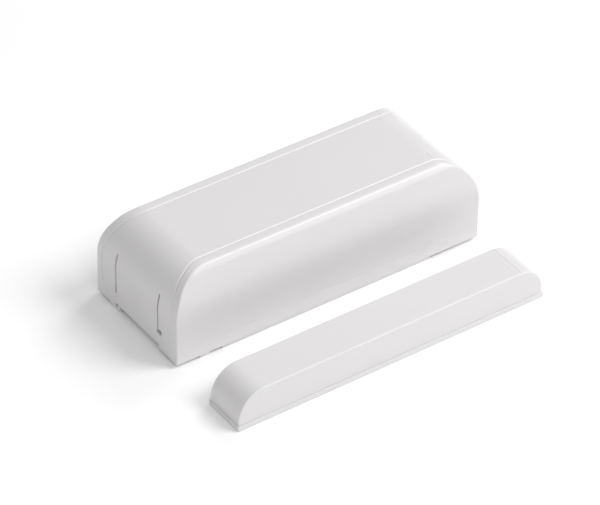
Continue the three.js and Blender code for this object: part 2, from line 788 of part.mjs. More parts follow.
function terminalBlock() {
  const [x, y] = terminalPlace();
  const block = blockOn(x, y, partFloor, terminalSize);
  const top = partFloor + terminalSize[2];
  const front = y - terminalSize[1] / 2;
  const entryFloor = partFloor + terminalEntryRise;
  const half = terminalEntry / 2;
  const openings = terminalWays().map((way) => {
    const well = upright(terminalScrewRadius + fit, way, y, top - terminalWell, top + over);
    const entry = box(way - half, way + half, front - over, front + terminalEntryDepth,
      entryFloor, entryFloor + terminalEntry);
    return well.add(entry);
  });
  return cut(block, ...openings);
}

function terminalScrew(way) {
  const [, y] = terminalPlace();
  const top = partFloor + terminalSize[2];
  const screwTop = top - terminalScrewSunk;
  const screw = upright(terminalScrewRadius, way, y, screwTop - terminalScrewLength, screwTop);
  const half = terminalSlot / 2;
  const reach = terminalScrewRadius + over;
  const slotFloor = screwTop - terminalSlotDepth;
  return screw.subtract(box(way - reach, way + reach, y - half, y + half, slotFloor, screwTop + over));
}

function capacitor() {
  const x = boardEnd - capacitorFromEnd;
  const foot = blockOn(x, 0, partFloor, capacitorFoot);
  const canFloor = partFloor + capacitorFoot[2] - sink;
  return foot.add(roundedPin(capacitorRadius, x, 0, canFloor, partFloor + capacitorHeight, capacitorRim));
}

function radioCan() {
  const x = boardEnd - radioFromEnd;
  const [sizeX, sizeY, sizeZ] = radioSize;
  const [borderX, borderY] = shieldBorder;
  const inside = [sizeX - 2 * borderX, sizeY - 2 * borderY, over];
  const sunk = blockOn(x, 0, partFloor + sizeZ - shieldSink, inside);
  return blockOn(x, 0, partFloor, radioSize).subtract(sunk);
}

function antennaCoil() {
  const x0 = boardEnd - coilFromEnd - coilLength;
  const y = reedY + reedRadius + coilRadius + coilWire + fit;
  const z = partFloor + coilRadius + coilWire + fit;
  return woundWire(x0, x0 + coilLength, y, z, coilRadius, coilRadius, coilTurns, coilWire, 12);
}

// A small block on the board, placed from the board's tab end and its magnet side.
function boardBlock([fromEnd, fromSide], size) {
  return blockOn(boardStart + fromEnd, -boardWidth / 2 + fromSide, partFloor, size);
}

// ---- Magnet unit, in its own frame ----
const magnetHalf = magnetUnitLength / 2;
const magnetSide = magnetUnitWidth / 2;
const magnetCoverFoot = magnetBaseThickness + magnetSeam;
const barX = magnetHalf - barFromEnd;
const barFloor = magnetBaseThickness + seat;
const magnetScrewX = [-magnetHalf + magnetScrewFromEnd, barX - barLength / 2 - magnetScrewFromBar];

function magnetCrossOutline(inset, foot) {
  const side = magnetSide - magnetReveal - inset;
  const top = magnetUnitHeight - inset;
  const bend = inset > 0 ? magnetInnerRound : magnetEdgeRound;
  const shape = new THREE.Shape();
  shape.moveTo(side, foot);
  shape.lineTo(side, top - bend);
  shape.absarc(side - bend, top - bend, bend, 0, Math.PI / 2, false);
  shape.lineTo(-side + bend, top);
  shape.absarc(-side + bend, top - bend, bend, Math.PI / 2, Math.PI, false);
  shape.lineTo(-side, foot);
  shape.closePath();
  return shape;
}

function magnetHull(inset, foot) {
  const half = magnetHalf - magnetReveal;
  const outline = longOutline(half, magnetUnitHeight, magnetRoundX, magnetRoundZ, inset, foot);
  const long = extrudeAlongY(outline, -magnetSide, magnetSide);
  return long.intersect(extrudeAlongX(magnetCrossOutline(inset, foot), -magnetHalf, magnetHalf, 3));
}

function magnetCover() {
  const shell = magnetHull(0, magnetCoverFoot).subtract(magnetHull(magnetWall, magnetCoverFoot - over));
  const x = magnetHalf - magnetMarkFromEnd;
  const mark = box(x - markWidth / 2, x + markWidth / 2, -magnetSide, magnetSide,
    magnetUnitHeight - markDepth, magnetUnitHeight + over);
  return shell.subtract(mark);
}

function magnetBase() {
  const outline = roundedOutline(-magnetHalf, magnetHalf, -magnetSide, magnetSide, magnetCorner);
  const plate = extrudeUp(outline, 0, magnetBaseThickness);
  const holes = magnetScrewX.map((x) => {
    return screwHole(x, 0, magnetScrewRadius, magnetScrewHeadRadius, magnetBaseThickness);
  });
  return cut(join(plate, ...magnetPosts()), ...holes);
}

// Posts beside and at the ends of the bar magnet.
function magnetPosts() {
  const root = magnetBaseThickness - sink;
  const face = barWidth / 2 + fit;
  const beside = [-1, 1].flatMap((end) => [-1, 1].map((side) => {
    const x = barX + end * (barLength / 2 - postLength);
    const [y0, y1] = [side * face, side * (face + postThickness)].sort((a, b) => a - b);
    return box(x - postLength / 2, x + postLength / 2, y0, y1, root, barFloor + sidePostRise);
  }));
  const stops = [-1, 1].map((end) => {
    const near = barX + end * (barLength / 2 + fit);
    const [x0, x1] = [near, near + end * postThickness].sort((a, b) => a - b);
    return box(x0, x1, -barWidth / 2, barWidth / 2, root, barFloor + endStopRise);
  });
  return [...beside, ...stops];
}

function barMagnet() {
  return blockOn(barX, 0, barFloor, [barLength, barWidth, barHeight]);
}

function magnetPad() {
  return blockOn(barX, 0, barFloor + barHeight + seat, [padLength, barWidth - padTrim, padThickness]);
}

// ---- Assembly ----
function addPart(group, name, body, material) {
  const made = body.getMesh();
  const geometry = new THREE.BufferGeometry();
  geometry.setAttribute("position", new THREE.BufferAttribute(Float32Array.from(made.vertProperties), 3));
  geometry.setIndex(new THREE.BufferAttribute(Uint32Array.from(made.triVerts), 1));
  geometry.computeVertexNormals();
  const mesh = new THREE.Mesh(geometry, material);
  mesh.name = name;
  group.add(mesh);
}

function buildTransmitter() {
  const group = new THREE.Group();
  addPart(group, "transmitter_cover", transmitterCover(), shellWhite);
  addPart(group, "release_tab", releaseTab(), shellWhite);
  addPart(group, "base_plate", basePlate(), shellWhite);
  addPart(group, "battery_holder", cellHolder(), innerWhite);
  addPart(group, "battery_cell", cell(), cellWrap);
  addPart(group, "battery_cap", cellCap(), nickel);
  addPart(group, "negative_contact", contactPlate(holderStart + holderWall + fit), nickel);
  addPart(group, "positive_contact", contactPlate(capEnd + fit), nickel);
  addPart(group, "contact_spring", contactSpring(), nickel);
  addPart(group, "circuit_board", circuitBoard(), boardGreen);
  addPart(group, "board_screw", boardScrew(), nickel);
  addPart(group, "reed_glass", reedGlass(), glass);
  addPart(group, "reed_lead_left", reedLead(-1), tinned);
  addPart(group, "reed_lead_right", reedLead(1), tinned);
  addPart(group, "tamper_switch", tamperSwitch(), black);
  addPart(group, "tamper_plunger", tamperPlunger(), innerWhite);
  addPart(group, "enrol_button_body", enrolButtonBody(), black);
  addPart(group, "enrol_button_cap", enrolButtonCap(), innerWhite);
  addPart(group, "terminal_block", terminalBlock(), terminalGreen);
  terminalWays().forEach((way, i) => addPart(group, `terminal_screw_${i + 1}`, terminalScrew(way), tinned));
  addPart(group, "capacitor", capacitor(), tinned);
  addPart(group, "radio_module", radioCan(), tinned);
  addPart(group, "antenna_coil", antennaCoil(), copper);
  addPart(group, "microcontroller", boardBlock(controllerPlace, controllerSize), black);
  addPart(group, "crystal", boardBlock(crystalPlace, crystalSize), tinned);
  addPart(group, "status_light", boardBlock(lightPlace, lightSize), lightLens);
  return group;
}

function buildMagnetUnit() {
  const group = new THREE.Group();
  group.position.set(magnetShift, -(width / 2 + workingGap + magnetSide), 0);
  addPart(group, "magnet_base", magnetBase(), shellWhite);
  addPart(group, "magnet_cover", magnetCover(), shellWhite);
  addPart(group, "bar_magnet", barMagnet(), nickel);
  addPart(group, "magnet_pad", magnetPad(), foam);
  return group;
}

const sensor = new THREE.Group();
sensor.add(buildTransmitter(), buildMagnetUnit());

export default sensor;
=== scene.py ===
import math

import bmesh
import bpy
import numpy as np
from mathutils import Matrix, Vector

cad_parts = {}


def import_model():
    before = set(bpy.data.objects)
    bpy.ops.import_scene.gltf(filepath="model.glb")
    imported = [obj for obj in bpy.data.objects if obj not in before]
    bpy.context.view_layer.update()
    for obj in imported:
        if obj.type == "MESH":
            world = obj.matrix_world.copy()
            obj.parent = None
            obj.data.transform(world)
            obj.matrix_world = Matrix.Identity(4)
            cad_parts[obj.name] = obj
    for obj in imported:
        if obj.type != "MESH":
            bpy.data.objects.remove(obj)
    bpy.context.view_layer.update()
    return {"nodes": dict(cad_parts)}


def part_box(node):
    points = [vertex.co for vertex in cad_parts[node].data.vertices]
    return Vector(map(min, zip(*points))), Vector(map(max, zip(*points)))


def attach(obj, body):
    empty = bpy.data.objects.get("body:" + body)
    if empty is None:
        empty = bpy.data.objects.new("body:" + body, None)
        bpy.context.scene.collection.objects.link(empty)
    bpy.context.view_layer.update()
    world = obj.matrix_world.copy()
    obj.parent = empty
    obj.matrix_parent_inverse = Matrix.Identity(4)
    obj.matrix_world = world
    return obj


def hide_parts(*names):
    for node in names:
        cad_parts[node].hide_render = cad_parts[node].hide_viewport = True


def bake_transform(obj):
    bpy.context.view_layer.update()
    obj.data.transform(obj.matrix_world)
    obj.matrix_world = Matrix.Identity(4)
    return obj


MM = 0.001
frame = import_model()


def span(node):
    """Lowest and highest corner of a CAD node, in millimetres."""
    low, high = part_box(node)
    return low / MM, high / MM


# ---- Materials ----

def material(name, colour, roughness, metallic=0.0, **sockets):
    made = bpy.data.materials.new(name)
    made.use_nodes = True
    shader = made.node_tree.nodes["Principled BSDF"]
    shader.inputs["Base Color"].default_value = (*colour, 1)
    shader.inputs["Roughness"].default_value = roughness
    shader.inputs["Metallic"].default_value = metallic
    for socket, value in sockets.items():
        shader.inputs[socket.replace("_", " ")].default_value = value
    return made


def node(made, kind, **settings):
    new = made.node_tree.nodes.new("ShaderNode" + kind)
    for key, value in settings.items():
        if hasattr(new, key):
            setattr(new, key, value)
        else:
            new.inputs[key.replace("_", " ")].default_value = value
    return new


def link(made, source, output, target, socket):
    made.node_tree.links.new(source.outputs[output], target.inputs[socket])


def object_space(made, stretch=(1, 1, 1)):
    coordinates = node(made, "TexCoord")
    mapping = node(made, "Mapping", Scale=stretch)
    link(made, coordinates, "Object", mapping, "Vector")
    return mapping


def noise(made, space, per_metre, detail=3.0):
    texture = node(made, "TexNoise", Scale=per_metre, Detail=detail)
    link(made, space, "Vector", texture, "Vector")
    return texture


def ramp(made, source, output, stops):
    made_ramp = node(made, "ValToRGB")
    elements = made_ramp.color_ramp.elements
    while len(elements) < len(stops):
        elements.new(0.5)
    for element, (place, colour) in zip(elements, stops):
        element.position = place
        element.color = (*colour, 1)
    link(made, source, output, made_ramp, "Fac")
    return made_ramp


def grey(value):
    return (value, value, value)


def shade(colour, amount):
    return tuple(min(1.0, c * amount) for c in colour)


def into_shader(made, source, output, socket):
    link(made, source, output, made.node_tree.nodes["Principled BSDF"], socket)


def mottled(made, colour, space, per_metre, spread):
    """Colour that drifts a little lighter and darker over the piece."""
    drift = noise(made, space, per_metre)
    tint = ramp(made, drift, "Fac", [(0.3, shade(colour, 1 - spread)), (0.7, shade(colour, 1 + spread))])
    into_shader(made, tint, "Color", "Base Color")


def uneven_gloss(made, space, per_metre, low, high):
    patches = noise(made, space, per_metre)
    gloss = ramp(made, patches, "Fac", [(0.35, grey(low)), (0.65, grey(high))])
    into_shader(made, gloss, "Color", "Roughness")


def grain(made, space, per_metre, depth, detail=4.0):
    texture = noise(made, space, per_metre, detail)
    bump = node(made, "Bump", Strength=1.0, Distance=depth)
    link(made, texture, "Fac", bump, "Height")
    into_shader(made, bump, "Normal", "Normal")


def moulded(name, colour, roughness, per_metre=4200, depth=0.000008, spread=0.03, sheen=0.04, **sockets):
    """Moulded plastic with a fine spark texture and a slightly uneven sheen."""
    made = material(name, colour, roughness, **sockets)
    space = object_space(made)
    mottled(made, colour, space, 60, spread)
    uneven_gloss(made, space, 130, roughness - sheen, roughness + sheen)
    grain(made, space, per_metre, depth)
    return made


def brushed(name, colour, roughness, stretch=(1, 12, 12), depth=0.000004):
    """Metal with drawn marks along X and a faint tarnish."""
    made = material(name, colour, roughness, metallic=1.0)
    space = object_space(made, stretch)
    mottled(made, colour, object_space(made), 300, 0.07)
    uneven_gloss(made, space, 900, roughness - 0.08, roughness + 0.1)
    grain(made, space, 1500, depth)
    return made


def sleeve_material():
    """Shrink sleeve of the cell: a dark body with a pale band at its positive end, no print."""
    dark = (0.025, 0.04, 0.085)
    made = material("cell_sleeve", dark, 0.3)
    space = object_space(made)
    low, high = span("battery_cell")
    split = node(made, "SeparateXYZ")
    link(made, space, "Vector", split, "Vector")
    along = node(made, "MapRange")
    along.inputs["From Min"].default_value = low.x * MM
    along.inputs["From Max"].default_value = high.x * MM
    link(made, split, "X", along, "Value")
    bands = ramp(made, along, "Result", [(0.0, dark), (0.74, (0.028, 0.044, 0.09)),
                                         (0.745, (0.62, 0.63, 0.62)), (0.9, (0.6, 0.61, 0.6)), (0.905, dark)])
    into_shader(made, bands, "Color", "Base Color")
    uneven_gloss(made, space, 500, 0.22, 0.36)
    grain(made, space, 420, 0.00004)
    return made


def board_material():
    """Solder mask over copper: the tracks show as a lighter green maze."""
    green = (0.012, 0.085, 0.04)
    made = material("solder_mask", green, 0.3)
    space = object_space(made)
    tracks = node(made, "TexBrick", Scale=420.0, Mortar_Size=0.09, Bias=0.0)
    tracks.offset = 0.37
    tracks.squash = 1.6
    tracks.inputs["Color1"].default_value = (*green, 1)
    tracks.inputs["Color2"].default_value = (*shade(green, 1.15), 1)
    tracks.inputs["Mortar"].default_value = (*shade(green, 2.1), 1)
    link(made, space, "Vector", tracks, "Vector")
    into_shader(made, tracks, "Color", "Base Color")
    bump = node(made, "Bump", Strength=1.0, Distance=0.00003)
    link(made, tracks, "Fac", bump, "Height")
    into_shader(made, bump, "Normal", "Normal")
    uneven_gloss(made, space, 900, 0.24, 0.38)
    return made


def glass_material():
    pale_green = (0.78, 0.92, 0.86)
    made = material("reed_tube_glass", pale_green, 0.03, Transmission_Weight=1.0, IOR=1.5)
    space = object_space(made)
    mottled(made, pale_green, space, 800, 0.04)
    grain(made, space, 700, 0.00001, 1.0)
    return made


def foam_material():
    made = material("foam_cells", (0.06, 0.06, 0.065), 0.95, Sheen_Weight=0.3)
    space = object_space(made)
    pores = node(made, "TexVoronoi", Scale=2400.0)
    link(made, space, "Vector", pores, "Vector")
    # painted shade: each pore is coloured darker towards its middle, where the bump sinks lowest
    tint = ramp(made, pores, "Distance", [(0.0, grey(0.02)), (0.5, grey(0.085))])
    into_shader(made, tint, "Color", "Base Color")
    bump = node(made, "Bump", Strength=1.0, Distance=0.00018)
    link(made, pores, "Distance", bump, "Height")
    into_shader(made, bump, "Normal", "Normal")
    return made


WHITE = (0.685, 0.672, 0.68)
LOOKS = {
    "shell_white": moulded("shell_white_abs", WHITE, 0.3, per_metre=5200, depth=0.0000025, spread=0.005,
                           sheen=0.012),
    "inner_white": moulded("inner_white_abs", (0.6, 0.595, 0.57), 0.55, spread=0.015),
    "board_green": board_material(),
    "black_plastic": moulded("black_moulding", (0.014, 0.014, 0.016), 0.5, spread=0.1),
    "terminal_green": moulded("terminal_moulding", (0.03, 0.2, 0.08), 0.42, spread=0.05),
    "cell_wrap": sleeve_material(),
    "reed_glass": glass_material(),
    "light_lens": moulded("lamp_epoxy", (0.75, 0.62, 0.42), 0.2, spread=0.04, Transmission_Weight=0.4),
    "foam": foam_material(),
    "tinned": brushed("tinned_metal", (0.6, 0.6, 0.57), 0.38),
    "nickel": brushed("nickel_plate", (0.56, 0.55, 0.52), 0.28),
    "copper": brushed("enamelled_copper", (0.63, 0.26, 0.12), 0.3, stretch=(1, 1, 1)),
}


# ---- Mesh tools ----

WELD, SLIVER = 0.002, 0.001  # points this close become one, and edges this short go
CAD_WELD, FLAT_ANGLE, EDGE_ANGLE = 0.003, 1.5, 38  # on CAD meshes: closeness, flat below, an edge above
SHELL_SHARP = 42  # edges of the housings stay sharp above this angle


def publish(name, mesh, slot, sharp=32):
    """Puts a mesh in the scene as a piece with its slot's look."""
    mesh.polygons.foreach_set("use_smooth", [True] * len(mesh.polygons))
    mesh.set_sharp_from_angle(angle=math.radians(sharp))
    mesh.materials.clear()
    mesh.materials.append(LOOKS[slot])
    piece = bpy.data.objects.new(name, mesh)
    bpy.context.scene.collection.objects.link(piece)
    return piece


def mesh_of(name, points, faces):
    """Mesh of points in millimetres, its faces turned outwards."""
    mesh = bpy.data.meshes.new(name)
    mesh.from_pydata([tuple(c * MM for c in p) for p in points], [], faces)
    work = bmesh.new()
    work.from_mesh(mesh)
    bmesh.ops.remove_doubles(work, verts=work.verts, dist=WELD * MM)
    bmesh.ops.dissolve_degenerate(work, dist=SLIVER * MM, edges=work.edges)
    bmesh.ops.recalc_face_normals(work, faces=work.faces)
    work.to_mesh(mesh)
    work.free()
    return mesh


def joined(name, meshes):
    """One mesh made of several."""
    work = bmesh.new()
    for mesh in meshes:
        work.from_mesh(mesh)
    whole = bpy.data.meshes.new(name)
    work.to_mesh(whole)
    work.free()
    return whole


def softened_copy(name, bevel=0.12, segments=2):
    """A CAD node's mesh with its flat faces merged and its edges rounded."""
    source = frame["nodes"][name]
    work = bmesh.new()
    work.from_mesh(source.data)
    bmesh.ops.remove_doubles(work, verts=work.verts, dist=CAD_WELD * MM)
    bmesh.ops.dissolve_limit(work, angle_limit=math.radians(FLAT_ANGLE), verts=work.verts, edges=work.edges)
    mesh = bpy.data.meshes.new(name + "_softened")
    work.to_mesh(mesh)
    work.free()
    holder = bpy.data.objects.new(name + "_work", mesh)
    bpy.context.scene.collection.objects.link(holder)
    rounding = holder.modifiers.new("edges", "BEVEL")
    rounding.width = bevel * MM
    rounding.segments = segments
    rounding.limit_method = "ANGLE"
    rounding.angle_limit = math.radians(EDGE_ANGLE)
    rounding.use_clamp_overlap = True
    rounding.harden_normals = False
    graph = bpy.context.evaluated_depsgraph_get()
    result = bpy.data.meshes.new_from_object(holder.evaluated_get(graph))
    bpy.data.objects.remove(holder)
    return result


def ring_faces(rings, sides):
    """Faces round a row of rings of points, closed at both ends."""
    faces = []
    for k in range(rings - 1):
        for i in range(sides):
            j = (i + 1) % sides
            faces.append((k * sides + i, k * sides + j, (k + 1) * sides + j, (k + 1) * sides + i))
    last = (rings - 1) * sides
    return faces + [tuple(range(sides)), tuple(range(last, last + sides))]


def turned(name, profile, place, axis="Z", sides=48):
    """A profile of (radius, distance) points turned about an axis through place."""
    points = []
    for radius, along in profile:
        for i in range(sides):
            angle = 2 * math.pi * i / sides
            a, b = radius * math.cos(angle), radius * math.sin(angle)
            offset = (along, a, b) if axis == "X" else (a, b, along)
            points.append([p + o for p, o in zip(place, offset)])
    return mesh_of(name, points, ring_faces(len(profile), sides))


def rounded_box(name, low, high, bevel, segments=3):
    work = bmesh.new()
    size = [h - l for l, h in zip(low, high)]
    middle = [(h + l) / 2 for l, h in zip(low, high)]
    bmesh.ops.create_cube(work, size=1.0)
    bmesh.ops.scale(work, vec=[s * MM for s in size], verts=work.verts)
    bmesh.ops.translate(work, vec=[m * MM for m in middle], verts=work.verts)
    bmesh.ops.bevel(work, geom=list(work.edges), offset=bevel * MM, segments=segments, profile=0.5,
                    affect="EDGES")
    mesh = bpy.data.meshes.new(name)
    work.to_mesh(mesh)
    work.free()
    return mesh


def tube(name, path, radius, sides=12):
    """A round wire along a path of points, closed at both ends."""
    path = [Vector(p) for p in path]
    points = []
    side = Vector((0, 0, 1))
    for k, here in enumerate(path):
        ahead = path[min(k + 1, len(path) - 1)] - path[max(k - 1, 0)]
        ahead.normalize()
        side = side - ahead * side.dot(ahead)
        if side.length < 0.01:
            side = ahead.orthogonal()
        side.normalize()
        other = ahead.cross(side)
        for i in range(sides):
            angle = 2 * math.pi * i / sides
            points.append(here + side * (radius * math.cos(angle)) + other * (radius * math.sin(angle)))
    return mesh_of(name, points, ring_faces(len(path), sides))


# ---- Housing shells: an arched outline along X, crossed with a side profile along Y ----

EDGE_STEPS = 8
HANDLE = 0.6  # how far the edge curve's handles reach towards the corner


class Housing:
    """Sizes of one housing cover. side(z) is its half width at height z.

    lower, arc and flat are the heights, angles and lengths of the rows along the arch, and columns the
    places across it. sink and inset say how far the face is set back, and band_share how much of inset the
    sides take. Columns nearer the middle than fixed_y keep their place on the inner skin.
    """

    def __init__(self, half, top, foot, round_x, round_z, wall, edge, side, *, lower, arc, flat, columns,
                 sink, foot_round, inset=lambda x, z: 0.0, band_share=lambda x: 0.0, fixed_y=0.0,
                 centre=(0.0, 0.0)):
        self.half, self.top, self.foot = half, top, foot
        self.round_x, self.round_z, self.wall, self.edge = round_x, round_z, wall, edge
        self.side = side
        self.shoulder = top - round_z
        self.lower, self.arc, self.flat, self.columns = lower, arc, flat, columns
        self.sink, self.inset, self.band_share = sink, inset, band_share
        self.fixed_y, self.foot_round, self.centre = fixed_y, foot_round, centre


def mirrored(places):
    """Places on one side of the middle, the middle, and the same places on the other side."""
    return [-place for place in reversed(places)] + [0, *places]


def foot_inset(h, z):
    """How far the small round along the lower edge is set back at height z."""
    rise = min(h.foot_round, h.foot + h.foot_round - z)
    if rise <= 0:
        return 0.0
    return h.foot_round - math.sqrt(h.foot_round ** 2 - rise ** 2)


def stations(h):
    """Places along the arch from one foot to the other: (x, z), outward normal, and the inner point."""
    left = []
    for z in h.lower:
        left.append((-h.half, z, -1.0, 0.0, -h.half + h.wall, z))
    for angle in h.arc:
        c, s = math.cos(math.radians(angle)), math.sin(math.radians(angle))
        x, z = -h.half + h.round_x * (1 - c), h.shoulder + h.round_z * s
        nx, nz = -c / h.round_x, s / h.round_z
        size = math.hypot(nx, nz)
        inner_x = -h.half + h.round_x - (h.round_x - h.wall) * c
        inner_z = h.shoulder + (h.round_z - h.wall) * s
        left.append((x, z, nx / size, nz / size, inner_x, inner_z))
    flat = [(x, h.top, 0.0, 1.0, x, h.top - h.wall) for x in h.flat]
    right = [(-x, z, -nx, nz, -xi, zi) for x, z, nx, nz, xi, zi in reversed(left)]
    return left, flat, right


def edge_section(h, z, nz):
    """Rounded edge in the plane across the arch: (y, depth) points from the arch face down to the side."""
    def along(depth):
        return h.side(z - depth * nz)
    depth, step = h.edge, 0.01
    slope = (along(depth + step) - along(depth - step)) / (2 * step)
    foot = (along(depth), depth)
    corner = (foot[0] - slope * depth, 0.0)
    reach = math.hypot(foot[0] - corner[0], depth)
    start = (corner[0] - reach, 0.0)
    handles = [tuple(a + HANDLE * (b - a) for a, b in zip(end, corner)) for end in (start, foot)]
    points = []
    for k in range(EDGE_STEPS + 1):
        t = k / EDGE_STEPS
        weights = ((1 - t) ** 3, 3 * t * (1 - t) ** 2, 3 * t * t * (1 - t), t ** 3)
        curve = (start, handles[0], handles[1], foot)
        points.append(tuple(sum(w * p[i] for w, p in zip(weights, curve)) for i in (0, 1)))
    return points


def cross_row(h, x, z, nx, nz):
    """(y, depth) of every column on the +Y half of one station."""
    edge = edge_section(h, z, nz)
    half = edge[0][0]
    row = [(column(z, half), 0.0) for column in h.columns]
    return row + edge


def shell_faces(rows, columns, offset):
    faces = []
    for i in range(rows - 1):
        for j in range(columns - 1):
            a = offset + i * columns + j
            faces.append((a, a + 1, a + columns + 1, a + columns))
    return faces


def arch_patch(h, places):
    """Outer and inner points of the face that runs over the arch, edges included."""
    outer, inner = [], []
    for x, z, nx, nz, xi, zi in places:
        row = cross_row(h, x, z, nx, nz)
        full = [(-y, d) for y, d in reversed(row[1:])] + row
        limit = h.side(zi) - h.wall
        widest = row[-1][0]
        step_in = foot_inset(h, z)
        for y, depth in full:
            sunk = depth + h.sink(x, y, z) + h.inset(x, z) * (1 - abs(nz))
            narrowed = y * (1 - step_in / widest)
            outer.append((x - nx * sunk - nx * step_in, narrowed, z - nz * sunk))
            reach = abs(y)
            if reach > h.fixed_y:
                reach = h.fixed_y + (reach - h.fixed_y) * (limit - h.fixed_y) / (widest - h.fixed_y)
            inner.append((xi, math.copysign(reach, y), zi))
    return outer, inner, len(full)


def side_patch(h, left, flat, sign):
    """Outer and inner points of one side face, in rows of constant height."""
    top_line = [left[-1], *flat, (-left[-1][0], *left[-1][1:4], -left[-1][4], left[-1][5])]
    shares = [(p[0] + abs(top_line[0][0])) / (2 * abs(top_line[0][0])) for p in top_line]
    outer, inner = [], []
    for x, z, nx, nz, xi, zi in left:
        edge_x = x - nx * h.edge - nx * foot_inset(h, z)
        height = z - nz * h.edge
        y = h.side(height) - foot_inset(h, z)
        for share in shares:
            here = edge_x * (1 - 2 * share)
            tuck = h.inset(here, height) * h.band_share(here)
            outer.append((here, sign * (y - tuck), height))
            inner.append((xi * (1 - 2 * share), sign * (h.side(zi) - h.wall), zi))
    return outer, inner, len(shares)


def housing_mesh(name, h, drop=None):
    """Closed shell of the housing. drop(centre) says which cells of the face are left out."""
    left, flat, right = stations(h)
    places = left + flat + right
    points, faces, inner_points = [], [], []
    outer, inner, columns = arch_patch(h, places)
    faces += shell_faces(len(places), columns, 0)
    points += outer
    inner_points += inner
    for sign in (-1, 1):
        outer, inner, wide = side_patch(h, left, flat, sign)
        faces += shell_faces(len(left), wide, len(points))
        points += outer
        inner_points += inner
    if drop:
        faces = [f for f in faces if not drop(np.mean([points[v] for v in f], axis=0))]
    return closed_shell(name, points, inner_points, faces, h.centre)


def closed_shell(name, points, inner_points, faces, centre):
    """Welds the outer patches, gives them an inner skin and closes every open edge."""
    keys, index = {}, []
    for p in points:
        key = tuple(round(c, 3) for c in p)
        index.append(keys.setdefault(key, len(keys)))
    count = len(keys)
    outer, inner = [None] * count, [None] * count
    for p, q, i in zip(points, inner_points, index):
        if outer[i] is None:
            outer[i], inner[i] = p, q
    welded = []
    for face in faces:
        ring = []
        for v in face:
            if not ring or index[v] != ring[-1]:
                ring.append(index[v])
        if ring[0] == ring[-1]:
            ring.pop()
        if len(ring) > 2:
            welded.append(tuple(ring))
    uses = {}
    for face in welded:
        for a, b in zip(face, face[1:] + face[:1]):
            uses.setdefault(frozenset((a, b)), []).append((a, b))
    skin = list(welded) + [tuple(v + count for v in reversed(f)) for f in welded]
    for edge in uses.values():
        if len(edge) == 1:
            a, b = edge[0]
            skin.append((b, a, a + count, b + count))
    cx, cy = centre
    shifted = [(x + cx, y + cy, z) for x, y, z in outer + inner]
    return mesh_of(name, shifted, skin)


# ---- Transmitter cover ----

HALF, TOP, FOOT = 40.5, 22.5, 1.0
WALL, EDGE, FOOT_ROUND = 1.8, 0.35, 0.08  # wall, round along the arch's edges and along the lower edge
ROUND_X, ROUND_Z = 9.85, 11.1  # the round at each end, along and up
LEAN_START, LEAN_FULL, LEAN = 12.4, 18.5, 0.41  # the sides start to lean, lean fully, and by how much
BROW, BROW_BLEND, BROW_LEAN = 21.2, 0.25, 0.43  # and lean this much more along the top edge
DRAFT = 0.28
HALF_WIDTH = 15.9
CREASE, CREASE_DEPTH, CREASE_STEP = 4.5, 0.06, 0.01  # a shallow line, and the band below it set back
CREASE_BELOW, CREASE_ABOVE = 0.25, 0.05  # how far the line's slopes reach
BAND_END, BAND_FADE = 37.1, 0.4  # along the sides the band ends here, and fades over this
GROOVE_LOW, GROOVE_TOP = 2.1, 2.25
GROOVE_SHAPE = [(-0.34, 0.0), (-0.26, 0.01), (-0.15, 0.1), (-0.03, 0.19),  # across, depth
                (0.03, 0.19), (0.15, 0.1), (0.26, 0.01), (0.34, 0.0)]
BAND_GROOVE = 0.35  # share of the groove's depth left below the crease
GROOVE_FADE_LOW, GROOVE_FADE_HIGH = -0.02, 0.12  # where it deepens, counted up from the crease
WINDOW, WINDOW_TOP = 8.6, 15.4  # half width and top of the opening round the tab
TAB_HALF, TAB_FOOT, TAB_GAP = 8.0, 1.95, 0.05  # half width between the slits, lower end, gap below the slits
SLIT_FOOT, SLIT_ROUND = 5.0, 0.12
SLIT_STEP = 0.03  # height over which the tab widens at the slits' foot
RELIEF, RELIEF_SHARE = 1.3, 0.245  # height of the slit's wider foot, and its reach towards the groove
MARK_X, MARK_HALF, MARK_DEPTH = 31.6, 0.15, 0.09
MARK_INSIDE, MARK_OUTSIDE = 0.06, 0.05  # how far its slopes reach, in from its edge and out from it
FRONT_MARK = ((6.62, 6.72), (9.34, 9.44))  # where the front mark starts and ends across the top
REAR_MARK = (10.16, 10.24)  # where the rear mark starts
FIXED_Y = 8.8  # columns nearer the middle than this keep their place at every height


def eased(value, start, full):
    """Distance past a bend that eases in from start to full."""
    curved = min(max(0.0, value - start), full - start)
    return curved ** 2 / (2 * (full - start)) + max(0.0, value - full)


def half_width(z):
    rise = max(0.0, z - FOOT) / (TOP - FOOT)
    brow = eased(z, BROW - BROW_BLEND, BROW + BROW_BLEND)
    return HALF_WIDTH - DRAFT * rise - LEAN * eased(z, LEAN_START, LEAN_FULL) - BROW_LEAN * brow


def groove_middle(z):
    inset = GROOVE_LOW + (GROOVE_TOP - GROOVE_LOW) * (z - FOOT) / (TOP - FOOT)
    return half_width(z) - inset


def smooth_step(value, low, high):
    t = min(1.0, max(0.0, (value - low) / (high - low)))
    return t * t * (3 - 2 * t)


def groove_column(offset):
    return lambda z, half: groove_middle(z) + offset


def spread_column(share):
    near = GROOVE_SHAPE[0][0]
    return lambda z, half: FIXED_Y + share * (groove_middle(z) + near - FIXED_Y)


def border_column(share):
    far = GROOVE_SHAPE[-1][0]
    return lambda z, half: groove_middle(z) + far + share * (half - groove_middle(z) - far)


def fixed_column(y):
    return lambda z, half: y


def groove_depth(y, z):
    offset = abs(y) - groove_middle(z)
    places, depths = zip(*GROOVE_SHAPE)
    deepened = smooth_step(z, CREASE + GROOVE_FADE_LOW, CREASE + GROOVE_FADE_HIGH)
    return float(np.interp(offset, places, depths)) * (BAND_GROOVE + (1 - BAND_GROOVE) * deepened)


def line_depth(x, middle):
    """Depth of a short line that runs across the top at middle."""
    return MARK_DEPTH * (1 - smooth_step(abs(x - middle), MARK_HALF - MARK_INSIDE, MARK_HALF + MARK_OUTSIDE))


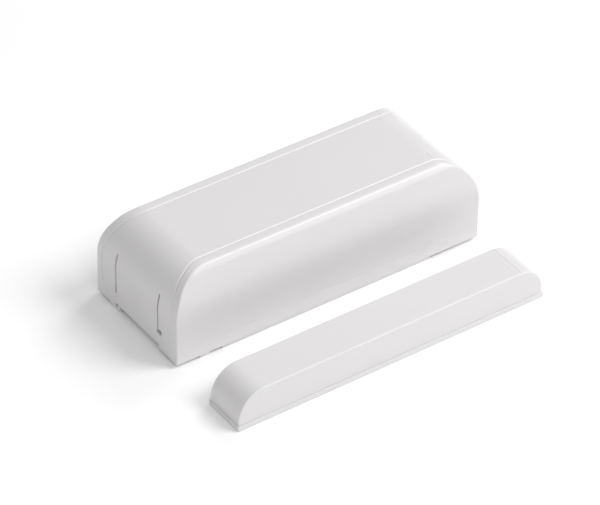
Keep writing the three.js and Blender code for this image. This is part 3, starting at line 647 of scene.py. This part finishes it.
def mark_depth(x, y):
    start, end = FRONT_MARK
    front = smooth_step(-y, *start) * (1 - smooth_step(-y, *end))
    return line_depth(x, MARK_X) * max(front, smooth_step(y, *REAR_MARK))


def slit_edge(x, y, z):
    """Rolls the window's edges inwards a little."""
    if x > 0 or z > WINDOW_TOP - 0.01:
        return 0.0
    return SLIT_ROUND * (1 - smooth_step(abs(y), WINDOW, WINDOW + SLIT_ROUND)) ** 2


def cover_sink(x, y, z):
    return groove_depth(y, z) + mark_depth(x, y) + slit_edge(x, y, z)


def crease_inset(x, z):
    heights = (CREASE - CREASE_BELOW, CREASE, CREASE + CREASE_ABOVE)
    return float(np.interp(z, heights, (CREASE_STEP, CREASE_DEPTH, 0.0)))


def band_share(x):
    return smooth_step(BAND_END - abs(x), -BAND_FADE, BAND_FADE)


def arc_angles(count_low, count_high):
    """Angles round an end, with one exactly at the window's top."""
    knee = math.degrees(math.asin((WINDOW_TOP - (TOP - ROUND_Z)) / ROUND_Z))
    low = [knee * k / count_low for k in range(1, count_low + 1)]
    high = [knee + (90 - knee) * k / count_high for k in range(1, count_high + 1)]
    return low + high


def mark_angles(half, round_x, mark_x):
    """Angles of the stations close to a mark that lies just beyond the flat of the top."""
    offsets = mirrored([0.08, 0.13, 0.17, 0.22])
    return [math.degrees(math.acos((mark_x + o - half + round_x) / round_x)) for o in offsets]


def cover_columns():
    """Columns from the middle out: close at the mark and the window, then up to, in and past the groove."""
    fixed = [0, 1.4, 2.8, 4.2, 5.5, 6.5, 6.62, 6.67, 6.72, 7.3, 7.9]
    fixed += [WINDOW + step for step in (-0.12, 0, 0.04, 0.08, 0.13)]
    columns = [fixed_column(y) for y in fixed]
    columns += [spread_column(s) for s in (0.1, RELIEF_SHARE, 0.42, 0.6, 0.69, 0.78, 0.9)]
    columns += [groove_column(offset) for offset, _ in GROOVE_SHAPE]
    columns += [border_column(s) for s in (0.25, 0.5, 0.75)]
    return columns


def cover_rows():
    """Heights from the foot to the shoulder, close together at the foot's round and at the crease."""
    foot = [FOOT, 1.03, 1.08, 1.15, 1.5, TAB_FOOT, 2.6, 3.4]
    crease = [4.0, 4.25, 4.37, 4.47, CREASE, 4.52, 4.55, 4.6]
    slit = [SLIT_FOOT, SLIT_FOOT + RELIEF / 2, SLIT_FOOT + RELIEF]
    return foot + crease + slit + [7.0, 8.0, 9.0, 10.2, TOP - ROUND_Z]


COVER = Housing(
    HALF, TOP, FOOT, ROUND_X, ROUND_Z, WALL, EDGE, half_width,
    lower=cover_rows(), arc=sorted(arc_angles(8, 18) + mark_angles(HALF, ROUND_X, MARK_X)),
    flat=mirrored([4, 8, 12, 16, 20, 23, 26, 29]), columns=cover_columns(),
    sink=cover_sink, inset=crease_inset, band_share=band_share, fixed_y=FIXED_Y, foot_round=FOOT_ROUND)


def in_window(centre):
    """Whether a cell of the face lies in the opening round the tab or in the relief at the slit's foot."""
    x, y, z = centre
    if x > 0:
        return False
    if z < WINDOW_TOP and abs(y) < WINDOW:
        return True
    relief_far = FIXED_Y + RELIEF_SHARE * (groove_middle(SLIT_FOOT) + GROOVE_SHAPE[0][0] - FIXED_Y)
    return SLIT_FOOT < z < SLIT_FOOT + RELIEF and -relief_far < y < 0


RIB_HALF, RIB_REACH, RIB_STEPS = 0.6, 62, 16  # half thickness, angle round the cell to each side, steps
RIB_CLEAR = 0.3  # gap over the cell, and under the post
ROOT = 0.3  # how far ribs and post run into the top wall


def cell_rib(x, radius, middle):
    """A rib across the cover at x that follows the cell's round top."""
    ceiling = TOP - WALL + ROOT
    outline = [(-radius, ceiling), (radius, ceiling)]
    reach = math.radians(RIB_REACH)
    clear = radius + RIB_CLEAR
    for k in range(RIB_STEPS + 1):
        angle = reach - 2 * reach * k / RIB_STEPS
        outline.append((clear * math.sin(angle), middle + clear * math.cos(angle)))
    points = [(x + dx, y, z) for dx in (-RIB_HALF, RIB_HALF) for y, z in outline]
    count = len(outline)
    faces = [tuple(range(count)), tuple(range(count, 2 * count))]
    faces += [(i, (i + 1) % count, count + (i + 1) % count, count + i) for i in range(count)]
    return mesh_of("rib", points, faces)


def cover_ribs():
    """Two ribs over the cell and the post that presses the tamper switch."""
    low, high = span("battery_cell")
    radius, middle = (high.z - low.z) / 2, (high.z + low.z) / 2
    ribs = [cell_rib(low.x + share * (high.x - low.x), radius, middle) for share in (0.2, 0.8)]
    low, high = span("tamper_plunger")
    x, y = (low.x + high.x) / 2, (low.y + high.y) / 2
    profile = [(1.35, high.z + RIB_CLEAR), (1.5, high.z + RIB_CLEAR + 0.15),
               (2.2, TOP - WALL - 0.3), (2.6, TOP - WALL + ROOT)]
    return [*ribs, turned("post", profile, (x, y, 0.0))]


def transmitter_cover():
    mesh = joined("cover_shell", [housing_mesh("cover_skin", COVER, in_window), *cover_ribs()])
    piece = publish("cover_shell", mesh, "shell_white", SHELL_SHARP)
    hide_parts("transmitter_cover")
    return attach(piece, "cover")


# ---- Release tab ----

HOOK_HALF, HOOK_LOW, HOOK_TOP, HOOK_BEVEL = 4.0, 3.9, 4.9, 0.12
HOOK_SINK = 0.1  # how far the hook runs into the tab
TAB_ROLL = (0.04, 0.08, 0.12)  # rows in the small round at its foot


def tab_sink(x, y, z):
    side_roll = SLIT_ROUND * smooth_step(abs(y), TAB_HALF - SLIT_ROUND, TAB_HALF) ** 2
    foot_roll = SLIT_ROUND * (1 - smooth_step(z, TAB_FOOT, TAB_FOOT + SLIT_ROUND)) ** 2
    fade = smooth_step(WINDOW_TOP - z, 0.0, 0.4)
    return side_roll * fade + foot_roll


def tab_row(x, z, nx, nz, xi, zi):
    """Outer and inner points across the tab at one height. Below the slits it fills the opening's width."""
    wide = WINDOW - TAB_GAP if z < SLIT_FOOT - SLIT_STEP / 2 else TAB_HALF
    outer, inner = [], []
    for share in mirrored([0.2, 0.4, 0.6, 0.8, 0.93, 0.97, 0.985, 1.0]):
        y = share * wide
        rolled = tab_sink(x, share * TAB_HALF, z) + crease_inset(x, z)
        outer.append((x - nx * rolled, y, z - nz * rolled))
        inner.append((xi, y, zi))
    return outer, inner


def tongue_mesh():
    """The tab follows the cover's arch from the window's top down to its foot."""
    left, _, _ = stations(COVER)
    places = [s for s in left if TAB_FOOT - 0.001 <= s[1] <= WINDOW_TOP + 0.001]
    extra = [TAB_FOOT + rise for rise in TAB_ROLL] + [SLIT_FOOT - SLIT_STEP]
    places += [(-HALF, z, -1.0, 0.0, -HALF + WALL, z) for z in extra]
    places.sort(key=lambda s: s[1])
    outer, inner = [], []
    for place in places:
        row = tab_row(*place)
        outer += row[0]
        inner += row[1]
    columns = len(outer) // len(places)
    return closed_shell("tongue", outer, inner, shell_faces(len(places), columns, 0), (0, 0))


def release_tab():
    tip = span("release_tab")[1].x
    hook = rounded_box("hook", (-HALF + WALL - HOOK_SINK, -HOOK_HALF, HOOK_LOW), (tip, HOOK_HALF, HOOK_TOP),
                       HOOK_BEVEL)
    mesh = joined("release_tongue", [tongue_mesh(), hook])
    piece = publish("release_tongue", mesh, "shell_white", SHELL_SHARP)
    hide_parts("release_tab")
    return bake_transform(piece)


# ---- Magnet unit ----

MAGNET_AT = (-0.47, -34.7)
MAGNET_HALF, MAGNET_TOP, MAGNET_FOOT = 40.45, 9.1, 1.31
MAGNET_SIDE, MAGNET_WALL, MAGNET_EDGE, MAGNET_FOOT_ROUND = 5.35, 1.2, 0.35, 0.02
MAGNET_ROUND_X, MAGNET_ROUND_Z = 6.5, 6.85
MAGNET_MARK = 34.3


def magnet_mark(x, y, z):
    return line_depth(x, MAGNET_MARK)


def even_column(share):
    return lambda z, half: share * half


MAGNET = Housing(
    MAGNET_HALF, MAGNET_TOP, MAGNET_FOOT, MAGNET_ROUND_X, MAGNET_ROUND_Z, MAGNET_WALL, MAGNET_EDGE,
    lambda z: MAGNET_SIDE, lower=[MAGNET_FOOT, 1.32, 1.33, 1.5, 1.9, 2.25],
    arc=sorted([5.0 * k for k in range(1, 19)] + mark_angles(MAGNET_HALF, MAGNET_ROUND_X, MAGNET_MARK)),
    flat=mirrored([5, 10, 15, 20, 24, 28, 32]),
    columns=[even_column(s) for s in (0, 0.15, 0.3, 0.45, 0.6, 0.75, 0.9)],
    sink=magnet_mark, foot_round=MAGNET_FOOT_ROUND, centre=MAGNET_AT)


def magnet_cover():
    piece = publish("magnet_shell", housing_mesh("magnet_shell", MAGNET), "shell_white", SHELL_SHARP)
    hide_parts("magnet_cover")
    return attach(piece, "magnet_lid")


# ---- Pieces inside, built round the CAD solids ----

def softened(node_name, name, slot, body="transmitter_base", bevel=0.12, segments=2, extra=()):
    """A CAD solid with rounded edges, and what else belongs to it, in its place."""
    mesh = softened_copy(node_name, bevel, segments)
    if extra:
        mesh = joined(name, [mesh, *extra])
    return inside(name, mesh, slot, node_name, body=body)


def placed(piece, body, *nodes):
    if nodes:
        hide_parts(*nodes)
    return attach(piece, body)


def inside(name, mesh, slot, *nodes, body="transmitter_base"):
    """A piece on its body, in place of the CAD nodes it shows."""
    return placed(publish(name, mesh, slot), body, *nodes)


def middle_of(node_name):
    low, high = span(node_name)
    return (low + high) / 2


def cell_pieces():
    low, high = span("battery_cell")
    radius, length = (high.z - low.z) / 2, high.x - low.x
    centre = (low.x, 0.0, (low.z + high.z) / 2)
    lip = [(radius - 1.5, 0.12), (radius - 1.1, 0.02), (radius - 0.45, 0.0), (radius - 0.14, 0.1),
           (radius, 0.42)]
    far = [(radius, length - 0.6), (radius - 0.12, length - 0.28), (radius - 0.5, length - 0.05),
           (radius - 2.3, length), (radius - 2.6, length - 0.15)]
    waist = [(radius, length - 3.0), (radius - 0.22, length - 2.6), (radius - 0.22, length - 2.3),
             (radius, length - 1.9)]
    sleeve = turned("cell_sleeve", lip + waist + far, centre, "X", 72)
    inside("cell_sleeve", sleeve, "cell_wrap", "battery_cell")
    foot = [(radius - 1.7, 0.06), (radius - 1.5, 0.03), (radius - 1.2, 0.1)]
    head = [(radius - 2.3, length - 0.2), (radius - 2.7, length - 0.04), (radius - 3.2, length - 0.01)]
    ends = [turned("cell_foot", foot, centre, "X"), turned("cell_top", head, centre, "X")]
    inside("cell_ends", joined("cell_ends", ends), "nickel")
    low, high = span("battery_cap")
    radius, length = (high.z - low.z) / 2, high.x - low.x
    profile = [(radius, 0.0), (radius, length - 0.35), (radius - 0.1, length - 0.12), (radius - 0.35, length),
               (radius - 1.6, length)]
    cap = turned("cell_button", profile, (low.x, 0.0, centre[2]), "X")
    inside("cell_button", cap, "nickel", "battery_cap")


def winding(x0, x1, centre, radius0, radius1, turns, steps):
    """Points of a coil along X from x0 to x1, whose radius goes from radius0 to radius1."""
    points = []
    for k in range(steps + 1):
        t = k / steps
        angle = 2 * math.pi * turns * t
        radius = radius0 + (radius1 - radius0) * t
        across, up = radius * math.cos(angle), radius * math.sin(angle)
        points.append((x0 + (x1 - x0) * t, centre[0] + across, centre[1] + up))
    return points


def contacts():
    low, high = span("contact_spring")
    wire, wide, narrow, turns, steps = 0.24, 3.4, 2.0, 2.4, 90
    axis = (0.0, middle_of("battery_cell").z)
    path = winding(low.x + wire, high.x - wire, axis, wide, narrow, turns, steps)
    inside("cell_spring", tube("cell_spring", path, wire), "nickel", "contact_spring")
    for node_name, name in (("negative_contact", "minus_plate"), ("positive_contact", "plus_plate")):
        softened(node_name, name, "nickel", bevel=0.07)
    softened("battery_holder", "cell_cradle", "inner_white", bevel=0.15)


REED_LEADS = ((-1, "reed_lead_left", "reed_wire_left"), (1, "reed_lead_right", "reed_wire_right"))
LEAD_HALF, LEAD_RADIUS = 0.2, 0.19  # half the CAD lead's thickness, and the wire's radius
LEAD_BEND, LEAD_STEPS, LEAD_TIP = 0.5, 6, 3.0  # the bend, its steps, and the straight end in the glass
SWITCH_LEG_X, SWITCH_LEG_Y, SWITCH_PAD_X, RIVET_AT = 3.0, 2.2, 3.3, 2.5  # from a switch's middle
COIL_WIRE = 0.3


def leg_place(node_name, side):
    """Where along X a reed lead goes down through the board."""
    low, high = span(node_name)
    return low.x + LEAD_HALF if side < 0 else high.x - LEAD_HALF


def board_top():
    return span("circuit_board")[1].z


def solder_pads():
    """Rings of solder where legs go through the board, from rows of (x, y, size)."""
    places = [(leg_place(name, side), middle_of(name).y, 0.55) for side, name, _ in REED_LEADS]
    for node_name in ("tamper_switch", "enrol_button_body"):
        middle = middle_of(node_name)
        places += [(middle.x + dx, middle.y + dy, 0.45)
                   for dx in (-SWITCH_PAD_X, SWITCH_PAD_X) for dy in (-SWITCH_LEG_Y, SWITCH_LEG_Y)]
    low, high = span("antenna_coil")
    places += [(x, middle_of("antenna_coil").y, 0.6) for x in (low.x + COIL_WIRE, high.x - COIL_WIRE)]
    profile = [(1.0, 0.0), (0.8, 0.06), (0.35, 0.16), (0.2, 0.2)]
    rings = [turned("pad", [(r * size, h) for r, h in profile], (x, y, board_top()), sides=20)
             for x, y, size in places]
    inside("solder_pads", joined("solder_pads", rings), "tinned")


def bent_lead(node_name, side):
    """A lead that rises from the board and bends over into the glass."""
    low, high = span(node_name)
    leg_x = leg_place(node_name, side)
    tip_x = high.x if side < 0 else low.x
    y, z = (low.y + high.y) / 2, high.z - LEAD_HALF
    path = [(leg_x, y, low.z), (leg_x, y, z - LEAD_BEND)]
    for k in range(1, LEAD_STEPS + 1):
        angle = math.pi / 2 * k / LEAD_STEPS
        inward, up = LEAD_BEND * (1 - math.cos(angle)), LEAD_BEND * math.sin(angle)
        path.append((leg_x - side * inward, y, z - LEAD_BEND + up))
    path += [(tip_x + side * LEAD_TIP, y, z), (tip_x, y, z)]
    return tube(node_name, path, LEAD_RADIUS)


def reed_switch():
    low, high = span("reed_glass")
    centre = middle_of("reed_glass")
    radius, half = (high.z - low.z) / 2, (high.x - low.x) / 2
    bore = radius - 0.3
    outside = [(0.3, -half), (0.62, -half + 0.08), (0.92, -half + 0.35), (radius, -half + 0.9)]
    outside += [(r, -along) for r, along in reversed(outside)]
    hollow = [(0.25, half - 0.8), (bore - 0.5, half - 1.0), (bore, half - 1.6),
              (bore, -half + 1.6), (bore - 0.5, -half + 1.0), (0.25, -half + 0.8)]
    glass = turned("reed_tube", outside, centre, "X")
    cavity = turned("reed_cavity", hollow, centre, "X")
    cavity.flip_normals()
    inside("reed_tube", joined("reed_tube", [glass, cavity]), "reed_glass", "reed_glass")
    for side, node_name, name in REED_LEADS:
        inside(name, bent_lead(node_name, side), "tinned", node_name)


def push_switches():
    """The two switches' cases, their legs and rivets, and what is pressed on each."""
    legs = []
    for node_name, name in (("tamper_switch", "tamper_case"), ("enrol_button_body", "enrol_case")):
        softened(node_name, name, "black_plastic", bevel=0.18, segments=3)
        low, high = span(node_name)
        middle = (low + high) / 2
        for side in (-1, 1):
            for dy in (-SWITCH_LEG_Y, SWITCH_LEG_Y):
                x0 = middle.x + side * SWITCH_LEG_X
                ends = sorted((x0, x0 + side * 0.5))
                legs.append(rounded_box("leg", (ends[0], middle.y + dy - 0.35, low.z + 0.02),
                                        (ends[1], middle.y + dy + 0.35, low.z + 1.3), 0.08))
            corners = [(middle.x + side * RIVET_AT, middle.y + dy, high.z) for dy in (-RIVET_AT, RIVET_AT)]
            legs += [turned("rivet", [(0.4, 0.0), (0.36, 0.08), (0.2, 0.14)], c, sides=20) for c in corners]
    inside("switch_metal", joined("switch_metal", legs), "tinned")
    for node_name, name, body in (("tamper_plunger", "tamper_pin", "plunger"),
                                  ("enrol_button_cap", "enrol_dome", "enrol_button")):
        low, high = span(node_name)
        radius, tall = (high.x - low.x) / 2, high.z - low.z
        profile = [(radius - 0.1, 0.0), (radius, 0.12), (radius, tall - 0.4), (radius - 0.08, tall - 0.18),
                   (radius - 0.32, tall - 0.03), (radius - 0.7, tall)]
        pin = turned(name, profile, ((low.x + high.x) / 2, (low.y + high.y) / 2, low.z))
        inside(name, pin, "inner_white", node_name, body=body)


def terminal_pieces():
    low, high = span("terminal_block")
    ribs = []
    for share in (0.0, 0.5, 1.0):
        x = low.x + 0.25 + share * (high.x - low.x - 0.5)
        ribs.append(rounded_box("rib", (x - 0.2, high.y - 0.1, low.z + 0.4),
                                (x + 0.2, high.y + 0.25, high.z - 0.6), 0.08))
    softened("terminal_block", "wire_block", "terminal_green", bevel=0.2, segments=3, extra=ribs)
    for i in (1, 2):
        softened(f"terminal_screw_{i}", f"wire_screw_{i}", "tinned", bevel=0.06)


def can_capacitor():
    low, high = span("capacitor")
    x, y, radius = (low.x + high.x) / 2, (low.y + high.y) / 2, 2.0
    foot = rounded_box("foot", (low.x, low.y, low.z), (high.x, high.y, low.z + 0.85), 0.25)
    inside("capacitor_foot", foot, "black_plastic")
    tall = high.z - low.z
    profile = [(radius, 0.8), (radius, 1.5), (radius - 0.22, 1.75), (radius - 0.22, 1.95), (radius, 2.2),
               (radius, tall - 0.35), (radius - 0.12, tall - 0.1), (radius - 0.35, tall),
               (radius - 0.5, tall - 0.06)]
    inside("capacitor_can", turned("capacitor_can", profile, (x, y, low.z)), "tinned", "capacitor")


def controller_legs():
    """Eight legs on each side of the controller."""
    low = span("microcontroller")[0]
    middle = middle_of("microcontroller")
    x, y, half, tall, bevel = middle.x, middle.y, 0.13, 0.3, 0.05
    legs = []
    for k in range(8):
        along = -2.1 + 0.6 * k
        for side in (-1, 1):
            near, far = sorted((side * 2.7, side * 3.3))
            legs.append(rounded_box("leg", (x + along - half, y + near, low.z),
                                    (x + along + half, y + far, low.z + tall), bevel))
            legs.append(rounded_box("leg", (x + near, y + along - half, low.z),
                                    (x + far, y + along + half, low.z + tall), bevel))
    inside("controller_legs", joined("controller_legs", legs), "tinned")


def board_chips():
    """The radio's shield, the controller with its legs, the crystal and the lamp."""
    low, high = span("radio_module")
    dimples = []
    for dx in (-3.6, 0, 3.6):
        centre = ((low.x + high.x) / 2 + dx, (low.y + high.y) / 2, high.z - 0.15)
        dimples.append(turned("dimple", [(0.7, 0.0), (0.66, 0.05), (0.5, 0.08)], centre, sides=28))
    tabs = [rounded_box("tab", (x - 0.5, y - 0.12, low.z), (x + 0.5, y + 0.12, low.z + 0.9), 0.05)
            for x in (low.x + 2.5, high.x - 2.5) for y in (low.y, high.y)]
    softened("radio_module", "radio_shield", "tinned", bevel=0.12, extra=dimples + tabs)
    controller_legs()
    softened("microcontroller", "controller_case", "black_plastic", bevel=0.1)
    low, high = span("crystal")
    lid = rounded_box("lid", (low.x + 0.3, low.y + 0.3, high.z - 0.1),
                      (high.x - 0.3, high.y - 0.3, high.z), 0.04)
    softened("crystal", "crystal_can", "tinned", bevel=0.12, extra=[lid])
    softened("status_light", "lamp_body", "light_lens", bevel=0.15, segments=3)


def antenna():
    """A coil of seven turns, with a leg down to the board at each end."""
    low, high = span("antenna_coil")
    centre = ((low.y + high.y) / 2, (low.z + high.z) / 2)
    radius = (high.z - low.z) / 2 - COIL_WIRE
    path = winding(low.x + COIL_WIRE, high.x - COIL_WIRE, centre, radius, radius, 7, 200)
    (x0, y0, _), (x1, y1, _) = path[0], path[-1]
    knee = centre[1] - 0.5
    path = [(x0, y0, board_top()), (x0, y0, knee), *path, (x1, y1, knee), (x1, y1, board_top())]
    inside("antenna_winding", tube("antenna_winding", path, COIL_WIRE * 0.9), "copper", "antenna_coil")


def magnet_insides():
    softened("bar_magnet", "magnet_bar", "nickel", "magnet_unit", bevel=0.35, segments=3)
    low, high = span("magnet_pad")
    pad = rounded_box("magnet_foam", low, high, 0.35, 4)
    piece = inside("magnet_foam", pad, "foam", "magnet_pad", body="magnet_unit")


def inside_pieces():
    cell_pieces()
    contacts()
    softened("circuit_board", "board_slab", "board_green", bevel=0.06)
    softened("board_screw", "board_fixing", "nickel", bevel=0.08)
    solder_pads()
    reed_switch()
    push_switches()
    terminal_pieces()
    can_capacitor()
    board_chips()
    antenna()
    magnet_insides()


FOOT_LOBE = ((-40.3, 7.2, 0.3), (-38.2, 8.2, 1.65), 0.3)  # low corner, high corner, rounding


def bases():
    """The transmitter's base with the lobe of its foot beside the tab, and the magnet unit's base."""
    softened("base_plate", "base_tray", "shell_white", bevel=0.12, extra=(rounded_box("lobe", *FOOT_LOBE),))
    softened("magnet_base", "magnet_sole", "shell_white", "magnet_unit", 0.18, 3)


transmitter_cover()
release_tab()
magnet_cover()
bases()
inside_pieces()


# ---- Floor, light and camera ----

FLOOR_WHITE = (0.96, 0.96, 0.96)
FLOOR_HALF = 2.5  # metres
LAMP_DISTANCE, LAMP_AIM = 0.9, Vector((0, 0, 0.01))  # metres
CAMERA_AZIMUTH, CAMERA_ELEVATION, CAMERA_ROLL = -35.563, 38.404, 0.999  # degrees
CAMERA_LENS = 218.93
CAMERA_AIM = Vector((0, 0, 12))
CAMERA_BACK, CAMERA_RIGHT, CAMERA_UP = 805.18, 2.173, -6.529  # from the aim, along the camera's own axes


def floor():
    made = material("studio_floor", FLOOR_WHITE, 0.9)
    space = object_space(made)
    mottled(made, FLOOR_WHITE, space, 3, 0.004)
    mesh = bpy.data.meshes.new("floor")
    corners = [(x * FLOOR_HALF, y * FLOOR_HALF, 0) for x, y in ((-1, -1), (1, -1), (1, 1), (-1, 1))]
    mesh.from_pydata(corners, [], [(0, 1, 2, 3)])
    mesh.materials.append(made)
    plane = bpy.data.objects.new("floor", mesh)
    bpy.context.scene.collection.objects.link(plane)


def area_light(name, toward, size, power):
    """A round lamp that faces the object, placed along a direction from it."""
    lamp = bpy.data.lights.new(name, "AREA")
    lamp.shape = "DISK"
    lamp.size = size
    lamp.energy = power
    holder = bpy.data.objects.new(name, lamp)
    bpy.context.scene.collection.objects.link(holder)
    direction = Vector(toward).normalized()
    holder.location = LAMP_AIM + direction * LAMP_DISTANCE
    holder.rotation_euler = direction.to_track_quat("Z", "Y").to_euler()


def world(strength):
    made = bpy.data.worlds.new("studio")
    made.use_nodes = True
    background = made.node_tree.nodes["Background"]
    background.inputs["Color"].default_value = (1.0, 1.0, 1.0, 1)
    background.inputs["Strength"].default_value = strength
    bpy.context.scene.world = made


def camera():
    azimuth, elevation, roll = (math.radians(a) for a in (CAMERA_AZIMUTH, CAMERA_ELEVATION, CAMERA_ROLL))
    back = Vector((math.sin(azimuth) * math.cos(elevation), -math.cos(azimuth) * math.cos(elevation),
                   math.sin(elevation)))
    level = Vector((math.cos(azimuth), math.sin(azimuth), 0))
    rising = back.cross(level)
    right = level * math.cos(roll) + rising * math.sin(roll)
    up = rising * math.cos(roll) - level * math.sin(roll)
    lens = bpy.data.cameras.new("camera")
    lens.sensor_width = 36
    lens.lens = CAMERA_LENS
    lens.clip_start = 0.01
    holder = bpy.data.objects.new("camera", lens)
    bpy.context.scene.collection.objects.link(holder)
    place = CAMERA_AIM + back * CAMERA_BACK + right * CAMERA_RIGHT + up * CAMERA_UP
    turn = Matrix((right, up, back)).transposed().to_4x4()
    holder.matrix_world = Matrix.Translation(place * MM) @ turn
    bpy.context.scene.camera = holder


floor()
world(0.45)
area_light("key", (0.515, -0.447, 0.731), size=0.5, power=4.7)
area_light("right", (0.72, 0.262, 0.643), size=0.35, power=1.6)
area_light("front_left", (-0.289, -0.544, 0.788), size=0.6, power=1.75)
camera()
bpy.context.scene.view_settings.view_transform = "Standard"
